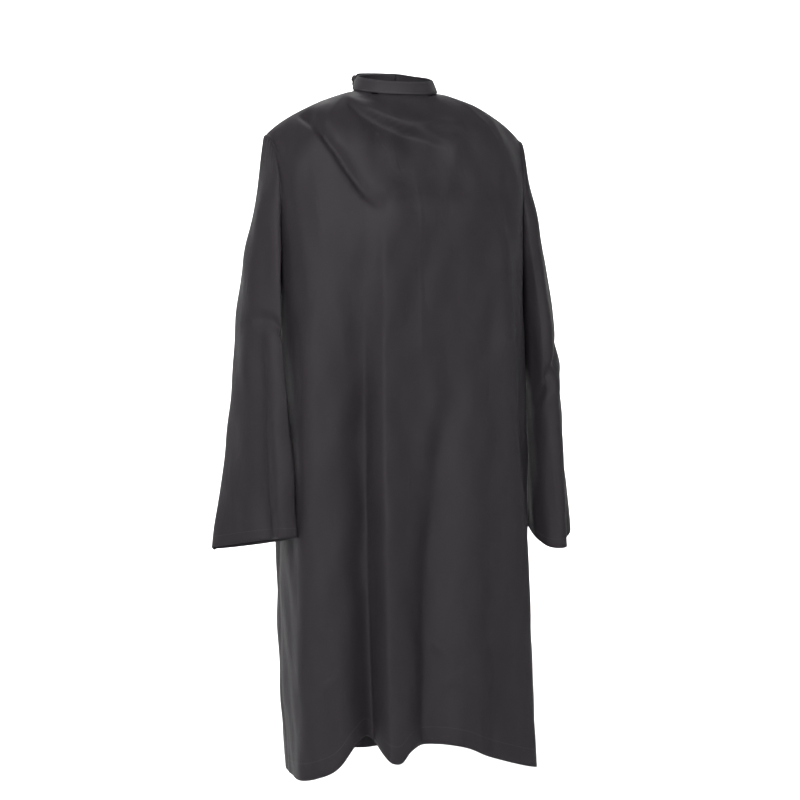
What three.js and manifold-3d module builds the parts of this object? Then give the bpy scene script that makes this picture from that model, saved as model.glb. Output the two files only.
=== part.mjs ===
// A sleeved salon cape, worn: front panel, two wrap-over back panels, two set-in sleeves and a
// stand-up neckband that closes at the nape with a press stud. Millimetres, +Z up, the wearer
// faces -Y, and the origin is the middle of the neck inside the neckband.
import * as THREE from 'three';
import { mergeVertices } from 'three/addons/utils/BufferGeometryUtils.js';
import Module from 'manifold-3d';

const { degToRad, lerp, clamp } = THREE.MathUtils;

// Cloth and seams
const CLOTH = 1.6; // thickness that the draped panels are given as solids
const SEAM_GAP = 0.6; // clearance between two panels where they are sewn together
const SAME_PLACE = 1e-5; // corners closer than this are one

// Neck, measured on the inside of the neckband's foot
const NECK_HALF_WIDTH = 72;
const NECK_HALF_DEPTH = 65;
const NECKLINE_FRONT_DEPTH = 22; // how far the neckline lies below the origin
const NECKLINE_BACK_DEPTH = -4;

// Shoulders and armholes
const SHOULDER_HALF_WIDTH = 228;
const SHOULDER_DEPTH = 88; // shoulder tip below the origin
const SHOULDER_BULGE_X = 188; // the shoulder seam's control point
const SHOULDER_BULGE_DEPTH = 27;
const ARMHOLE_HALF_DEPTH = 60;
const UNDERARM_HALF_WIDTH = 207;
const UNDERARM_DEPTH = 300;

// Hem, below the origin
const HEM_FRONT_DEPTH = 1115;
const HEM_SIDE_DEPTH = 1185;
const HEM_BACK_DEPTH = 1180;

// Horizontal sections of the body: a higher squareness fills the corners of the oval, and shift
// is how far the cloth at that depth hangs towards the wearer's left
const SECTIONS = [
  { depth: 0, halfWidth: 215, front: 100, back: 92, squareness: 3.0, shift: 0 },
  { depth: 130, halfWidth: 222, front: 124, back: 112, squareness: 3.0, shift: 0 },
  { depth: 230, halfWidth: 215, front: 148, back: 122, squareness: 2.9, shift: 2 },
  { depth: 330, halfWidth: 201, front: 155, back: 125, squareness: 2.7, shift: 6 },
  { depth: 600, halfWidth: 195, front: 166, back: 123, squareness: 2.5, shift: 14 },
  { depth: 850, halfWidth: 203, front: 178, back: 122, squareness: 2.4, shift: 18 },
  { depth: 1190, halfWidth: 222, front: 192, back: 124, squareness: 2.3, shift: 22 },
];
const EASE_DEPTH = 105; // fall over which the cloth leaves the neck and shoulders
const FOLD_COUNT = 9;
const FOLD_REACH = 9; // how far the folds stand out at the hem
const FOLD_START_DEPTH = 250;

// Turns round the body, in degrees: 0 is the middle of the front and 90 the wearer's left side
const NECK_TURN = 36; // the neckline runs from the middle to here
const TIP_TURN = 66; // then the shoulder seam to here, and the armhole to 90
const WRAP_TURN = 6.5; // how far each back panel passes the middle
const FLAP_TURN = 146; // where the free part of a back panel folds
const FLAP_TOP_DEPTH = 140;
const FLAP_GAP = 0.5; // half the clearance round the free part, in mm
const FLAP_GAP_TURN = 0.17; // the same, as a turn at the fold
const WRAP_STEP = 6; // how far the covered back panel lies inside the other

// Sleeves
const CUFF_DEPTH = 785;
const CUFF_BACK_DROP = 14;
const CUFF_CENTRE_X = 269;
const CUFF_CENTRE_Y = -6;
const CUFF_HALF_WIDTH = 61;
const CUFF_HALF_DEPTH = 80;
const SLEEVE_CAP_BULGE = 12;
const SLEEVE_ROWS = 12;
const SLEEVE_COLUMNS = 24;

// Neckband: three plies of cloth on a cone that leans in to the neck
const BAND_HEIGHT = 22;
const BAND_LEAN = 9; // how far its top edge lies inside its foot
const PLY = 0.6;
const PLY_GAP = 0.4;
const PLY_PITCH = PLY + PLY_GAP;
const BAND_LIFT = CLOTH / 2 + SEAM_GAP; // foot of the band above the neckline
const BAND_WRAP_TURN = 14; // covered end of the band past the middle of the back
const TAB_TURN = 52; // length of the free tab, round the neck
const TAB_STEP = 7; // how far the covering end stands outside the covered one
const TAB_RAMP_TURN = 34; // turn over which it rises to that
const TAB_GAP_TURN = 1;
const BAND_STEP_TURN = 9; // turn of the band that is straight between two corners

// Press studs
const SNAP_PITCH_TURN = 18;
const SNAP_TIP_TURN = 13; // socket from the tip of the tab
const SHANK_RADIUS = 1.2;
const SHANK_CLEARANCE = 0.4;
const STUD_FLANGE_RADIUS = 4.2;
const STUD_NECK_RADIUS = 2.2;
const STUD_HEAD_RADIUS = 2.9;
const STUD_FLANGE = 0.4;
const STUD_NECK = 0.6;
const STUD_HEAD = 1.1;
const SOCKET_RADIUS = 5.4;
const SOCKET_CLEARANCE = 0.9; // round the stud's head
const SOCKET_ROOF = 0.7;
const POST_HEAD = 0.8;
const CAP_RADIUS = 6;
const CAP_HEIGHT = 1.8;
const SNAP_GAP = 0.5; // between a snap piece and the cloth it grips
const SNAP_SEGMENTS = 16;

// Label sewn inside the back neckline
const LABEL_WIDTH_TURN = 10.67;
const LABEL_DROP = 24;
const LABEL_THICKNESS = 0.5;
const LABEL_TURN = 122;
const LABEL_STANDOFF = 5;

const BLACK_CLOTH = { color: 0x3a363b, roughness: 0.72, metalness: 0 };
const INTERFACING = { color: 0x2c2a2c, roughness: 0.95, metalness: 0 };
const SNAP_METAL = { color: 0x2b2b2d, roughness: 0.38, metalness: 0.85 };
const LABEL_CLOTH = { color: 0xd9d6d0, roughness: 0.8, metalness: 0 };

/** Value of one measure of the sections at a depth, on a smooth curve through them. */
function sectionMeasure(key, depth) {
  const last = SECTIONS.length - 1;
  let i = 0;
  while (i < last - 1 && depth > SECTIONS[i + 1].depth) i += 1;
  const slope = (k) => {
    const above = SECTIONS[Math.max(k - 1, 0)];
    const below = SECTIONS[Math.min(k + 1, last)];
    return (below[key] - above[key]) / (below.depth - above.depth);
  };
  const span = SECTIONS[i + 1].depth - SECTIONS[i].depth;
  const u = clamp((depth - SECTIONS[i].depth) / span, 0, 1);
  const rise = u * u * (3 - 2 * u);
  return (
    lerp(SECTIONS[i][key], SECTIONS[i + 1][key], rise) +
    slope(i) * span * u * (1 - u) * (1 - u) -
    slope(i + 1) * span * u * u * (1 - u)
  );
}

/** Point of the draped body at a turn and depth, moved in by inset. */
function bodyRing(turn, depth, inset = 0) {
  const s = Math.sin(degToRad(turn));
  const c = Math.cos(degToRad(turn));
  const power = 2 / sectionMeasure('squareness', depth);
  const fall = clamp((depth - FOLD_START_DEPTH) / (HEM_SIDE_DEPTH - FOLD_START_DEPTH), 0, 1);
  const facing = Math.max(c, 0);
  const fold = FOLD_REACH * fall * facing * Math.cos(degToRad(turn * FOLD_COUNT));
  const across = sectionMeasure('halfWidth', depth) + fold - inset;
  const reach = sectionMeasure(c > 0 ? 'front' : 'back', depth) + fold - inset;
  return new THREE.Vector3(
    across * Math.sign(s) * Math.abs(s) ** power,
    -reach * Math.sign(c) * Math.abs(c) ** power,
    -depth,
  );
}

/** Point of the neckline, at an angle round the neck from its front. */
function necklinePoint(angle) {
  const s = Math.sin(degToRad(angle));
  const c = Math.cos(degToRad(angle));
  const middle = (NECKLINE_FRONT_DEPTH + NECKLINE_BACK_DEPTH) / 2;
  const tilt = (NECKLINE_FRONT_DEPTH - NECKLINE_BACK_DEPTH) / 2;
  return new THREE.Vector3(NECK_HALF_WIDTH * s, -NECK_HALF_DEPTH * c, -(middle + tilt * c));
}

/** Point of the shoulder seam, from the neck at 0 to the tip at 1, on the wearer's left. */
function shoulderPoint(share) {
  const neck = necklinePoint(90);
  const bulge = new THREE.Vector3(SHOULDER_BULGE_X, 0, -SHOULDER_BULGE_DEPTH);
  const tip = new THREE.Vector3(SHOULDER_HALF_WIDTH, 0, -SHOULDER_DEPTH);
  return new THREE.QuadraticBezierCurve3(neck, bulge, tip).getPoint(share);
}

/** Point of the left armhole: 0 is the shoulder tip, 90 its back edge and 180 the underarm. */
function armholePoint(angle) {
  const s = Math.sin(degToRad(angle));
  const c = Math.cos(degToRad(angle));
  const middle = (SHOULDER_DEPTH + UNDERARM_DEPTH) / 2;
  const halfHeight = (UNDERARM_DEPTH - SHOULDER_DEPTH) / 2;
  const low = (1 - c) / 2;
  const x = lerp(SHOULDER_HALF_WIDTH, UNDERARM_HALF_WIDTH, Math.sqrt(low));
  return new THREE.Vector3(x, ARMHOLE_HALF_DEPTH * s, -(middle - halfHeight * c));
}

/** Upper edge of the body cloth on the wearer's left: neckline, shoulder seam, then armhole. */
function upperEdge(turn) {
  const isBack = turn > 90;
  const fromMiddle = isBack ? 180 - turn : turn;
  if (fromMiddle <= NECK_TURN) {
    const angle = (90 * fromMiddle) / NECK_TURN;
    return necklinePoint(isBack ? 180 - angle : angle);
  }
  if (fromMiddle <= TIP_TURN) {
    return shoulderPoint((fromMiddle - NECK_TURN) / (TIP_TURN - NECK_TURN));
  }
  const angle = (180 * (fromMiddle - TIP_TURN)) / (90 - TIP_TURN);
  return armholePoint(isBack ? angle : -angle);
}

/** Depth of the hem at a turn. */
function hemDepth(turn) {
  const c = Math.cos(degToRad(turn));
  const end = c > 0 ? HEM_FRONT_DEPTH : HEM_BACK_DEPTH;
  return lerp(HEM_SIDE_DEPTH, end, c * c);
}

/** How fast the cloth turns down from its upper edge: at once over the shoulder. */
function turndown(turn) {
  const fromMiddle = turn > 90 ? 180 - turn : turn;
  const overShoulder = clamp((fromMiddle - NECK_TURN * 0.4) / (NECK_TURN * 0.8), 0, 1);
  const pastTip = clamp((fromMiddle - TIP_TURN) / (90 - TIP_TURN), 0, 1);
  return lerp(lerp(1, 0.5, overShoulder), 1, pastTip);
}

/** Point of the draped body on the wearer's left, at a turn and depth. */
function bodyPoint(turn, depth, inset = 0) {
  const edge = upperEdge(turn);
  const ring = bodyRing(turn, depth, inset);
  const fall = clamp((depth + edge.z) / EASE_DEPTH, 0, 1);
  const share = Math.sin((fall * Math.PI) / 2) ** turndown(turn);
  const point = new THREE.Vector3().lerpVectors(edge, ring, share);
  point.z = -depth;
  return point;
}

/** Numbers from a to b in n equal steps, both ends included. */
function steps(a, b, n) {
  return Array.from({ length: n + 1 }, (_, i) => lerp(a, b, i / n));
}

/** Joins lists of numbers and drops those that repeat. */
function joined(...lists) {
  return lists.flat().filter((v, i, all) => i === 0 || Math.abs(v - all[i - 1]) > 1e-6);
}

/**
 * Closed solid of a sheet. grid[row][column] are points of its middle surface, rows running
 * down and columns anticlockwise from above, and covers says which squares the sheet has.
 */
function sheetSolid(grid, thickness, { covers = () => true, wraps = false, mirrored = false } = {}) {
  const rows = grid.length;
  const columns = grid[0].length;
  const columnAfter = (j) => (wraps ? (j + 1) % columns : j + 1);
  const columnAt = (j) => (wraps ? (j + columns) % columns : clamp(j, 0, columns - 1));
  const at = (i, j) => grid[clamp(i, 0, rows - 1)][columnAt(j)];
  const squares = wraps ? columns : columns - 1;
  const has = (i, j) => {
    const inside = i >= 0 && i < rows - 1 && (wraps || (j >= 0 && j < squares));
    return inside && covers(i, wraps ? (j + squares) % squares : j);
  };
  const positions = [];
  const flip = mirrored ? -1 : 1;
  for (const side of [0.5, -0.5]) {
    for (let i = 0; i < rows; i += 1) {
      for (let j = 0; j < columns; j += 1) {
        const down = at(i + 1, j).clone().sub(at(i - 1, j));
        const along = at(i, j + 1).clone().sub(at(i, j - 1));
        const out = down.cross(along).normalize();
        const p = grid[i][j].clone().addScaledVector(out, side * thickness);
        positions.push(p.x * flip + sectionMeasure('shift', -p.z), p.y, p.z);
      }
    }
  }
  const inner = rows * columns;
  const index = [];
  const square = (a, b, c, d) => {
    if (mirrored) index.push(a, c, b, a, d, c);
    else index.push(a, b, c, a, c, d);
  };
  for (let i = 0; i < rows - 1; i += 1) {
    for (let j = 0; j < squares; j += 1) {
      if (has(i, j)) {
        const a = i * columns + j;
        const b = (i + 1) * columns + j;
        const c = (i + 1) * columns + columnAfter(j);
        const d = i * columns + columnAfter(j);
        square(a, b, c, d);
        square(a + inner, d + inner, c + inner, b + inner);
        if (!has(i - 1, j)) square(a, d, d + inner, a + inner);
        if (!has(i + 1, j)) square(c, b, b + inner, c + inner);
        if (!has(i, j - 1)) square(b, a, a + inner, b + inner);
        if (!has(i, j + 1)) square(d, c, c + inner, d + inner);
      }
    }
  }
  const geometry = new THREE.BufferGeometry();
  geometry.setAttribute('position', new THREE.Float32BufferAttribute(positions, 3));
  geometry.setIndex(index);
  const corners = mergeVertices(geometry.toNonIndexed(), SAME_PLACE);
  corners.computeVertexNormals();
  return corners;
}

const UPPER_ROWS = 6;
const LOWER_ROWS = 9;

/** Depths of a column of the body: close together where it turns, wide apart where it hangs. */
function columnDepths(turn, breakDepth) {
  const top = -upperEdge(turn).z;
  const upper = steps(0, 1, UPPER_ROWS).map((v) => lerp(top, breakDepth, v * v));
  const lower = steps(0, 1, LOWER_ROWS).map((v) => lerp(breakDepth, hemDepth(turn), v));
  return { upper, lower };
}

/** Turns at which a quarter of the body has columns, from the middle to the side. */
const QUARTER_TURNS = joined(
  steps(0, NECK_TURN, 6),
  steps(NECK_TURN, TIP_TURN, 5),
  steps(TIP_TURN, 90, 7),
);

/** Front panel, from side seam to side seam. */
function frontPanel() {
  const half = QUARTER_TURNS;
  const turns = [...half.slice(1).reverse().map((t) => -t), ...half];
  const columns = turns.map((turn) => {
    const side = Math.abs(turn);
    const breakDepth = Math.max(FLAP_TOP_DEPTH, -upperEdge(side).z + EASE_DEPTH / 2);
    const { upper, lower } = columnDepths(side, breakDepth);
    return joined(upper, lower).map((depth) => {
      const point = bodyPoint(side, depth);
      point.x *= turn < 0 ? -1 : 1;
      point.y -= SEAM_GAP * Math.sin(degToRad(side)) ** 2;
      return point;
    });
  });
  const grid = columns[0].map((_, i) => columns.map((column) => column[i]));
  return sheetSolid(grid, CLOTH);
}

/** Grid of a back panel, drawn on the wearer's left, and the row and column where its flap parts. */
function backGrid(inset) {
  const backTurns = QUARTER_TURNS.map((t) => 180 - t).reverse();
  const before = backTurns.filter((t) => t < FLAP_TURN - 1);
  const after = backTurns.filter((t) => t > FLAP_TURN + 1);
  const turns = joined(
    before,
    [FLAP_TURN - FLAP_GAP_TURN, FLAP_TURN + FLAP_GAP_TURN],
    after,
    [180 + WRAP_TURN / 2, 180 + WRAP_TURN],
  );
  const hinge = before.length;
  const depthRow = UPPER_ROWS;
  const columns = turns.map((turn) => {
    const breakDepth = Math.max(FLAP_TOP_DEPTH, -upperEdge(turn).z + EASE_DEPTH / 2);
    const { upper, lower } = columnDepths(turn, breakDepth);
    upper[depthRow] -= FLAP_GAP;
    lower[0] += FLAP_GAP;
    return [...upper, ...lower].map((depth) => {
      const wrap = clamp((turn - FLAP_TURN) / (180 - WRAP_TURN - FLAP_TURN), 0, 1);
      const point = bodyPoint(turn, depth);
      point.y += SEAM_GAP * Math.sin(degToRad(turn)) ** 2;
      const middle = new THREE.Vector3(0, -Math.cos(degToRad(turn)), 0);
      return point.addScaledVector(middle, -inset * wrap * wrap * (3 - 2 * wrap));
    });
  });
  const grid = columns[0].map((_, i) => columns.map((column) => column[i]));
  return { grid, hinge, depthRow };
}

/** A back panel without its free part: the side, and the yoke above the free part. */
function backPanel(mirrored) {
  const { grid, hinge, depthRow } = backGrid(mirrored ? WRAP_STEP : 0);
  const covers = (i, j) => j < hinge || i < depthRow;
  return sheetSolid(grid, CLOTH, { covers, mirrored });
}

/** The free part of a back panel, which swings out when the cape opens. */
function backFlap(mirrored) {
  const { grid, hinge, depthRow } = backGrid(mirrored ? WRAP_STEP : 0);
  const covers = (i, j) => j > hinge && i > depthRow;
  return sheetSolid(grid, CLOTH, { covers, mirrored });
}

/** A sleeve, from the armhole to the cuff, open at both ends. */
function sleeve(mirrored) {
  const angles = steps(0, 360, SLEEVE_COLUMNS).slice(0, -1);
  const seam = 2 * CLOTH + SEAM_GAP;
  const grid = steps(0, 1, SLEEVE_ROWS).map((share) =>
    angles.map((angle) => {
      const top = armholePoint(angle);
      const s = Math.sin(degToRad(angle));
      const c = Math.cos(degToRad(angle));
      const cuff = new THREE.Vector3(
        CUFF_CENTRE_X + CUFF_HALF_WIDTH * c,
        CUFF_CENTRE_Y + CUFF_HALF_DEPTH * s,
        -(CUFF_DEPTH + CUFF_BACK_DROP * s),
      );
      const point = new THREE.Vector3().lerpVectors(top, cuff, share);
      point.x += seam + SLEEVE_CAP_BULGE * Math.sin(Math.PI * share) * Math.max(c, 0);
      return point;
    }),
  );
  return sheetSolid(grid, CLOTH, { wraps: true, mirrored });
}

/** Point of the neckband, at an angle round the neck and a share of its height, moved out. */
function bandPoint(angle, share, out = 0) {
  const surface = (a, h) => {
    const foot = necklinePoint(a);
    const lean = BAND_LEAN * h;
    foot.x -= lean * Math.sin(degToRad(a));
    foot.y += lean * Math.cos(degToRad(a));
    foot.z += BAND_LIFT + BAND_HEIGHT * h;
    return foot;
  };
  const along = surface(angle + 1, share).sub(surface(angle - 1, share));
  const down = surface(angle, share - 0.1).sub(surface(angle, share + 0.1));
  const normal = down.cross(along).normalize();
  const ramp = clamp((angle - 180 + BAND_WRAP_TURN + TAB_RAMP_TURN) / TAB_RAMP_TURN, 0, 1);
  const step = TAB_STEP * ramp * ramp * (3 - 2 * ramp);
  return { point: surface(angle, share).addScaledVector(normal, out + step), normal };
}

const BAND_START = -180 - BAND_WRAP_TURN;
const BAND_END = 180 + WRAP_TURN;
const TAB_START = BAND_END + TAB_GAP_TURN;
const TAB_END = TAB_START + TAB_TURN;
const SOCKET_ANGLE = TAB_END - SNAP_TIP_TURN;
const STUD_ANGLES = [0, 1, 2].map((k) => SOCKET_ANGLE - 360 + (k - 1) * SNAP_PITCH_TURN);

/** One ply of the neckband or of its tab; layer 0 is the lining, 1 the interfacing, 2 the face. */
function bandPly(from, to, layer) {
  const count = Math.ceil((to - from) / BAND_STEP_TURN);
  const grid = [1, 0.5, 0].map((share) =>
    steps(from, to, count).map((angle) => bandPoint(angle, share, layer * PLY_PITCH).point),
  );
  return sheetSolid(grid, PLY);
}

/** Lathe-turned solid standing on the neckband at an angle, from radius and height pairs. */
function turned(profile, angle) {
  const points = profile.map(([radius, height]) => new THREE.Vector2(radius, height));
  const geometry = new THREE.LatheGeometry(points, SNAP_SEGMENTS);
  const { point, normal } = bandPoint(angle, 0.5);
  geometry.applyQuaternion(
    new THREE.Quaternion().setFromUnitVectors(new THREE.Vector3(0, 1, 0), normal),
  );
  return geometry.translate(point.x, point.y, point.z);
}

const BAND_INSIDE = -PLY / 2;
const BAND_OUTSIDE = 2 * PLY_PITCH + PLY / 2;
const STUD_FOOT = BAND_OUTSIDE + SNAP_GAP / 2;
const STUD_TOP = STUD_FOOT + STUD_FLANGE + STUD_NECK + STUD_HEAD;
const BORE_RADIUS = SHANK_RADIUS + SHANK_CLEARANCE;

/** Stud: flange, neck and head, hollow from below for its post. */
function snapStud(angle) {
  const bore = STUD_TOP - STUD_HEAD / 2;
  const neck = STUD_FOOT + STUD_FLANGE;
  return turned(
    [
      [0, bore],
      [BORE_RADIUS, bore],
      [BORE_RADIUS, STUD_FOOT],
      [STUD_FLANGE_RADIUS, STUD_FOOT],
      [STUD_FLANGE_RADIUS, neck],
      [STUD_NECK_RADIUS, neck],
      [STUD_NECK_RADIUS, neck + STUD_NECK],
      [STUD_HEAD_RADIUS, neck + STUD_NECK + STUD_HEAD * 0.3],
      [STUD_HEAD_RADIUS * 0.7, STUD_TOP],
      [0, STUD_TOP],
    ],
    angle,
  );
}

/** Post: a flat head inside the band and a shank through the plies into the stud. */
function snapPost(angle) {
  const head = BAND_INSIDE - SNAP_GAP;
  return turned(
    [
      [0, head - POST_HEAD],
      [STUD_FLANGE_RADIUS, head - POST_HEAD],
      [STUD_FLANGE_RADIUS, head],
      [SHANK_RADIUS, head],
      [SHANK_RADIUS, STUD_TOP - STUD_HEAD],
      [0, STUD_TOP - STUD_HEAD],
    ],
    angle,
  );
}

/** Socket under the tab: a cup that closes over a stud's head, bored for the cap's shank. */
function snapSocket(angle) {
  const roof = TAB_STEP + BAND_INSIDE - SNAP_GAP;
  const ceiling = roof - SOCKET_ROOF;
  const foot = STUD_FOOT + STUD_FLANGE + SNAP_GAP;
  const cavity = STUD_HEAD_RADIUS + SOCKET_CLEARANCE;
  return turned(
    [
      [BORE_RADIUS, ceiling],
      [cavity, ceiling],
      [cavity, foot],
      [SOCKET_RADIUS, foot],
      [SOCKET_RADIUS, roof],
      [BORE_RADIUS, roof],
      [BORE_RADIUS, ceiling],
    ],
    angle,
  );
}

/** Cap: a low dome outside the tab, with a shank through its plies into the socket. */
function snapCap(angle) {
  const seat = TAB_STEP + BAND_OUTSIDE + SNAP_GAP / 2;
  const end = TAB_STEP + BAND_INSIDE - SNAP_GAP - SOCKET_ROOF * 0.6;
  return turned(
    [
      [0, end],
      [SHANK_RADIUS, end],
      [SHANK_RADIUS, seat],
      [CAP_RADIUS, seat],
      [CAP_RADIUS, seat + CAP_HEIGHT * 0.4],
      [CAP_RADIUS * 0.75, seat + CAP_HEIGHT * 0.85],
      [0, seat + CAP_HEIGHT],
    ],
    angle,
  );
}

const wasm = await Module();
wasm.setup();

/** A closed mesh as a solid that can be cut. */
function toSolid(geometry) {
  const bare = geometry.clone();
  bare.deleteAttribute('normal');
  bare.deleteAttribute('uv');
  const merged = mergeVertices(bare, SAME_PLACE);
  return new wasm.Manifold(
    new wasm.Mesh({
      numProp: 3,
      vertProperties: new Float32Array(merged.attributes.position.array),
      triVerts: new Uint32Array(merged.index.array),
    }),
  );
}

/** A cut solid as a mesh again. */
function toGeometry(solid) {
  const mesh = solid.getMesh();
  const geometry = new THREE.BufferGeometry();
  geometry.setAttribute('position', new THREE.BufferAttribute(new Float32Array(mesh.vertProperties), 3));
  geometry.setIndex(new THREE.BufferAttribute(new Uint32Array(mesh.triVerts), 1));
  geometry.computeVertexNormals();
  return geometry;
}

/** Punches the hole for a shank through a ply at each angle. */
function punched(ply, angles) {
  const reach = TAB_STEP + BAND_OUTSIDE + CAP_HEIGHT;
  const drill = [
    [0, -reach],
    [BORE_RADIUS, -reach],
    [BORE_RADIUS, reach],
    [0, reach],
  ];
  const drilled = (solid, angle) => solid.subtract(toSolid(turned(drill, angle)));
  return toGeometry(angles.reduce(drilled, toSolid(ply)));
}

/** Blank label: a small folded tape that hangs inside the back of the neck. */
function labelGeometry() {
  const grid = steps(0, LABEL_DROP, 3).map((drop) =>
    steps(-0.5, 0.5, 4).map((share) => {
      const turn = 180 - (180 - LABEL_TURN) * (NECK_TURN / 90) + share * LABEL_WIDTH_TURN;
      const depth = -upperEdge(turn).z + LABEL_STANDOFF + drop;
      const point = bodyPoint(turn, depth);
      const middle = new THREE.Vector3(0, 0, point.z);
      return point.lerp(middle, (LABEL_STANDOFF + CLOTH) / point.distanceTo(middle));
    }),
  );
  return sheetSolid(grid, LABEL_THICKNESS);
}

const group = new THREE.Group();

/** Adds a named piece to the cape. */
function add(name, geometry, finish) {
  const mesh = new THREE.Mesh(geometry, new THREE.MeshStandardMaterial({ ...finish, name }));
  mesh.name = name;
  group.add(mesh);
}

add('front_panel', frontPanel(), BLACK_CLOTH);
for (const side of ['left', 'right']) {
  const mirrored = side === 'right';
  add(`${side}_back_panel`, backPanel(mirrored), BLACK_CLOTH);
  add(`${side}_back_flap`, backFlap(mirrored), BLACK_CLOTH);
  add(`${side}_sleeve`, sleeve(mirrored), BLACK_CLOTH);
}
const PLIES = [
  ['lining', BLACK_CLOTH],
  ['interfacing', INTERFACING],
  ['face', BLACK_CLOTH],
];
PLIES.forEach(([name, finish], layer) => {
  add(`neckband_${name}`, punched(bandPly(BAND_START, BAND_END, layer), STUD_ANGLES), finish);
  add(`neck_tab_${name}`, punched(bandPly(TAB_START, TAB_END, layer), [SOCKET_ANGLE]), finish);
});
STUD_ANGLES.forEach((angle, k) => {
  add(`snap_stud_${k + 1}`, snapStud(angle), SNAP_METAL);
  add(`snap_post_${k + 1}`, snapPost(angle), SNAP_METAL);
});
add('snap_socket', snapSocket(SOCKET_ANGLE), SNAP_METAL);
add('snap_cap', snapCap(SOCKET_ANGLE), SNAP_METAL);
add('blank_label', labelGeometry(), LABEL_CLOTH);

export default group;
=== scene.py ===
"""A sleeved salon cape in black cloth, as worn: panels, sleeves, neckband, press studs and label.

Metres, +Z up. The wearer faces -Y, +X is the wearer's left, and the origin is the middle of the
neck. Turns round the body are in degrees: 0 is the middle of the front and 90 the left side.
"""

import logging
import math
from dataclasses import dataclass, field
from enum import Enum
from typing import Sequence

import bpy
import numpy as np
from mathutils import Matrix, Vector


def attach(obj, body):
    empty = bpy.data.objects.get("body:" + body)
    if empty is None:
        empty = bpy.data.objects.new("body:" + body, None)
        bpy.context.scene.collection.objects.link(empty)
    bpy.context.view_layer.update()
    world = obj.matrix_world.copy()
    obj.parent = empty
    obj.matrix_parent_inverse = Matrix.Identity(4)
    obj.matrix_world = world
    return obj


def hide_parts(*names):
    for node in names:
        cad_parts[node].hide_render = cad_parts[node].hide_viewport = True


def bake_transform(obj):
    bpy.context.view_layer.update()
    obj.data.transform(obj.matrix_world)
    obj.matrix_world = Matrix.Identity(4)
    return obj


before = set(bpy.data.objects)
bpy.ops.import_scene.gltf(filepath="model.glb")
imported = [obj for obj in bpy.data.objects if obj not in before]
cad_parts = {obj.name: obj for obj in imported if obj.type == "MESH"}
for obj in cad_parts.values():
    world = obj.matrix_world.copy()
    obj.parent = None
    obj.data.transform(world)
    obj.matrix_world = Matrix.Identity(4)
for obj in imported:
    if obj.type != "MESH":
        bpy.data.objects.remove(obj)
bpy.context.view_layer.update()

LOG = logging.getLogger("salon_cape")
Array = np.ndarray


class Side(Enum):
    """Side of the wearer; the value is the sign of X there."""

    LEFT = 1
    RIGHT = -1

    @property
    def word(self) -> str:
        """The side's name in lower case."""
        return self.name.lower()


class Run(Enum):
    """Which way a fold runs over its cloth."""

    DOWN = 0
    ACROSS = 1


# --------------------------------------------------------------------------- curves and grids


def through(knots: Sequence[float], values: Sequence[float], at: Array) -> Array:
    """Reads a smooth curve through a few chosen points.

    Args:
        knots: Places of the points, rising.
        values: Their values.
        at: Places to read; past either end the end's value holds.

    Returns:
        The curve's value at each place.
    """
    place, value = np.asarray(knots, float), np.asarray(values, float)
    slope = np.gradient(value, place)
    i = np.clip(np.searchsorted(place, at) - 1, 0, len(place) - 2)
    span = place[i + 1] - place[i]
    u = np.clip((at - place[i]) / span, 0, 1)
    rise = u * u * (3 - 2 * u)
    eased = value[i] * (1 - rise) + value[i + 1] * rise
    bend = slope[i] * span * u * (1 - u) ** 2 - slope[i + 1] * span * u * u * (1 - u)
    return eased + bend


def ramp(at: Array, start: float, end: float) -> Array:
    """Rises smoothly from 0 at start to 1 at end.

    Args:
        at: Places to read.
        start: Where the rise begins.
        end: Where it is complete.

    Returns:
        Values from 0 to 1.
    """
    u = np.clip((np.asarray(at, float) - start) / (end - start), 0, 1)
    return u * u * (3 - 2 * u)


def grid_normals(grid: Array, wraps: bool = False) -> Array:
    """Outward normals of a grid of points whose rows run down and columns anticlockwise.

    Args:
        grid: Rows by columns by 3.
        wraps: Whether the last column joins the first.

    Returns:
        Unit vectors, in the grid's own shape.
    """
    down = np.gradient(grid, axis=0)
    if wraps:
        along = (np.roll(grid, -1, axis=1) - np.roll(grid, 1, axis=1)) / 2
    else:
        along = np.gradient(grid, axis=1)
    normal = np.cross(down, along)
    length = np.linalg.norm(normal, axis=2, keepdims=True)
    return normal / np.maximum(length, 1e-12)


@dataclass(frozen=True)
class Fold:
    """A fold in cloth: how far it stands out along its path and how wide it is on each side.

    Each knot is (along, place, reach, near width, far width). Along is the coordinate that the
    fold runs in, place the other one, and a negative reach makes a valley.
    """

    run: Run
    knots: tuple[tuple[float, float, float, float, float], ...]

    def reach(self, across: Array, down: Array) -> Array:
        """How far the fold moves each point of the cloth outwards.

        Args:
            across: The points' coordinate across the cloth.
            down: The points' coordinate down the cloth.

        Returns:
            Offsets in metres.
        """
        along, place = (down, across) if self.run is Run.DOWN else (across, down)
        at = [knot[0] for knot in self.knots]
        middle, out, near, far = (
            through(at, [knot[i] for knot in self.knots], along) for i in range(1, 5)
        )
        away = place - middle
        width = np.where(away < 0, near, far)
        ends = ramp(along, at[0], at[0] + 1e-6) * (1 - ramp(along, at[-1] - 1e-6, at[-1]))
        return ends * out * np.exp(-((away / np.maximum(width, 1e-6)) ** 2))


# --------------------------------------------------------------------------- the worn shape


@dataclass(frozen=True)
class Section:
    """Horizontal section of the worn cape at one depth below the neck."""

    depth: float
    half_width: float
    front: float
    back: float
    squareness: float
    shift: float


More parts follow.
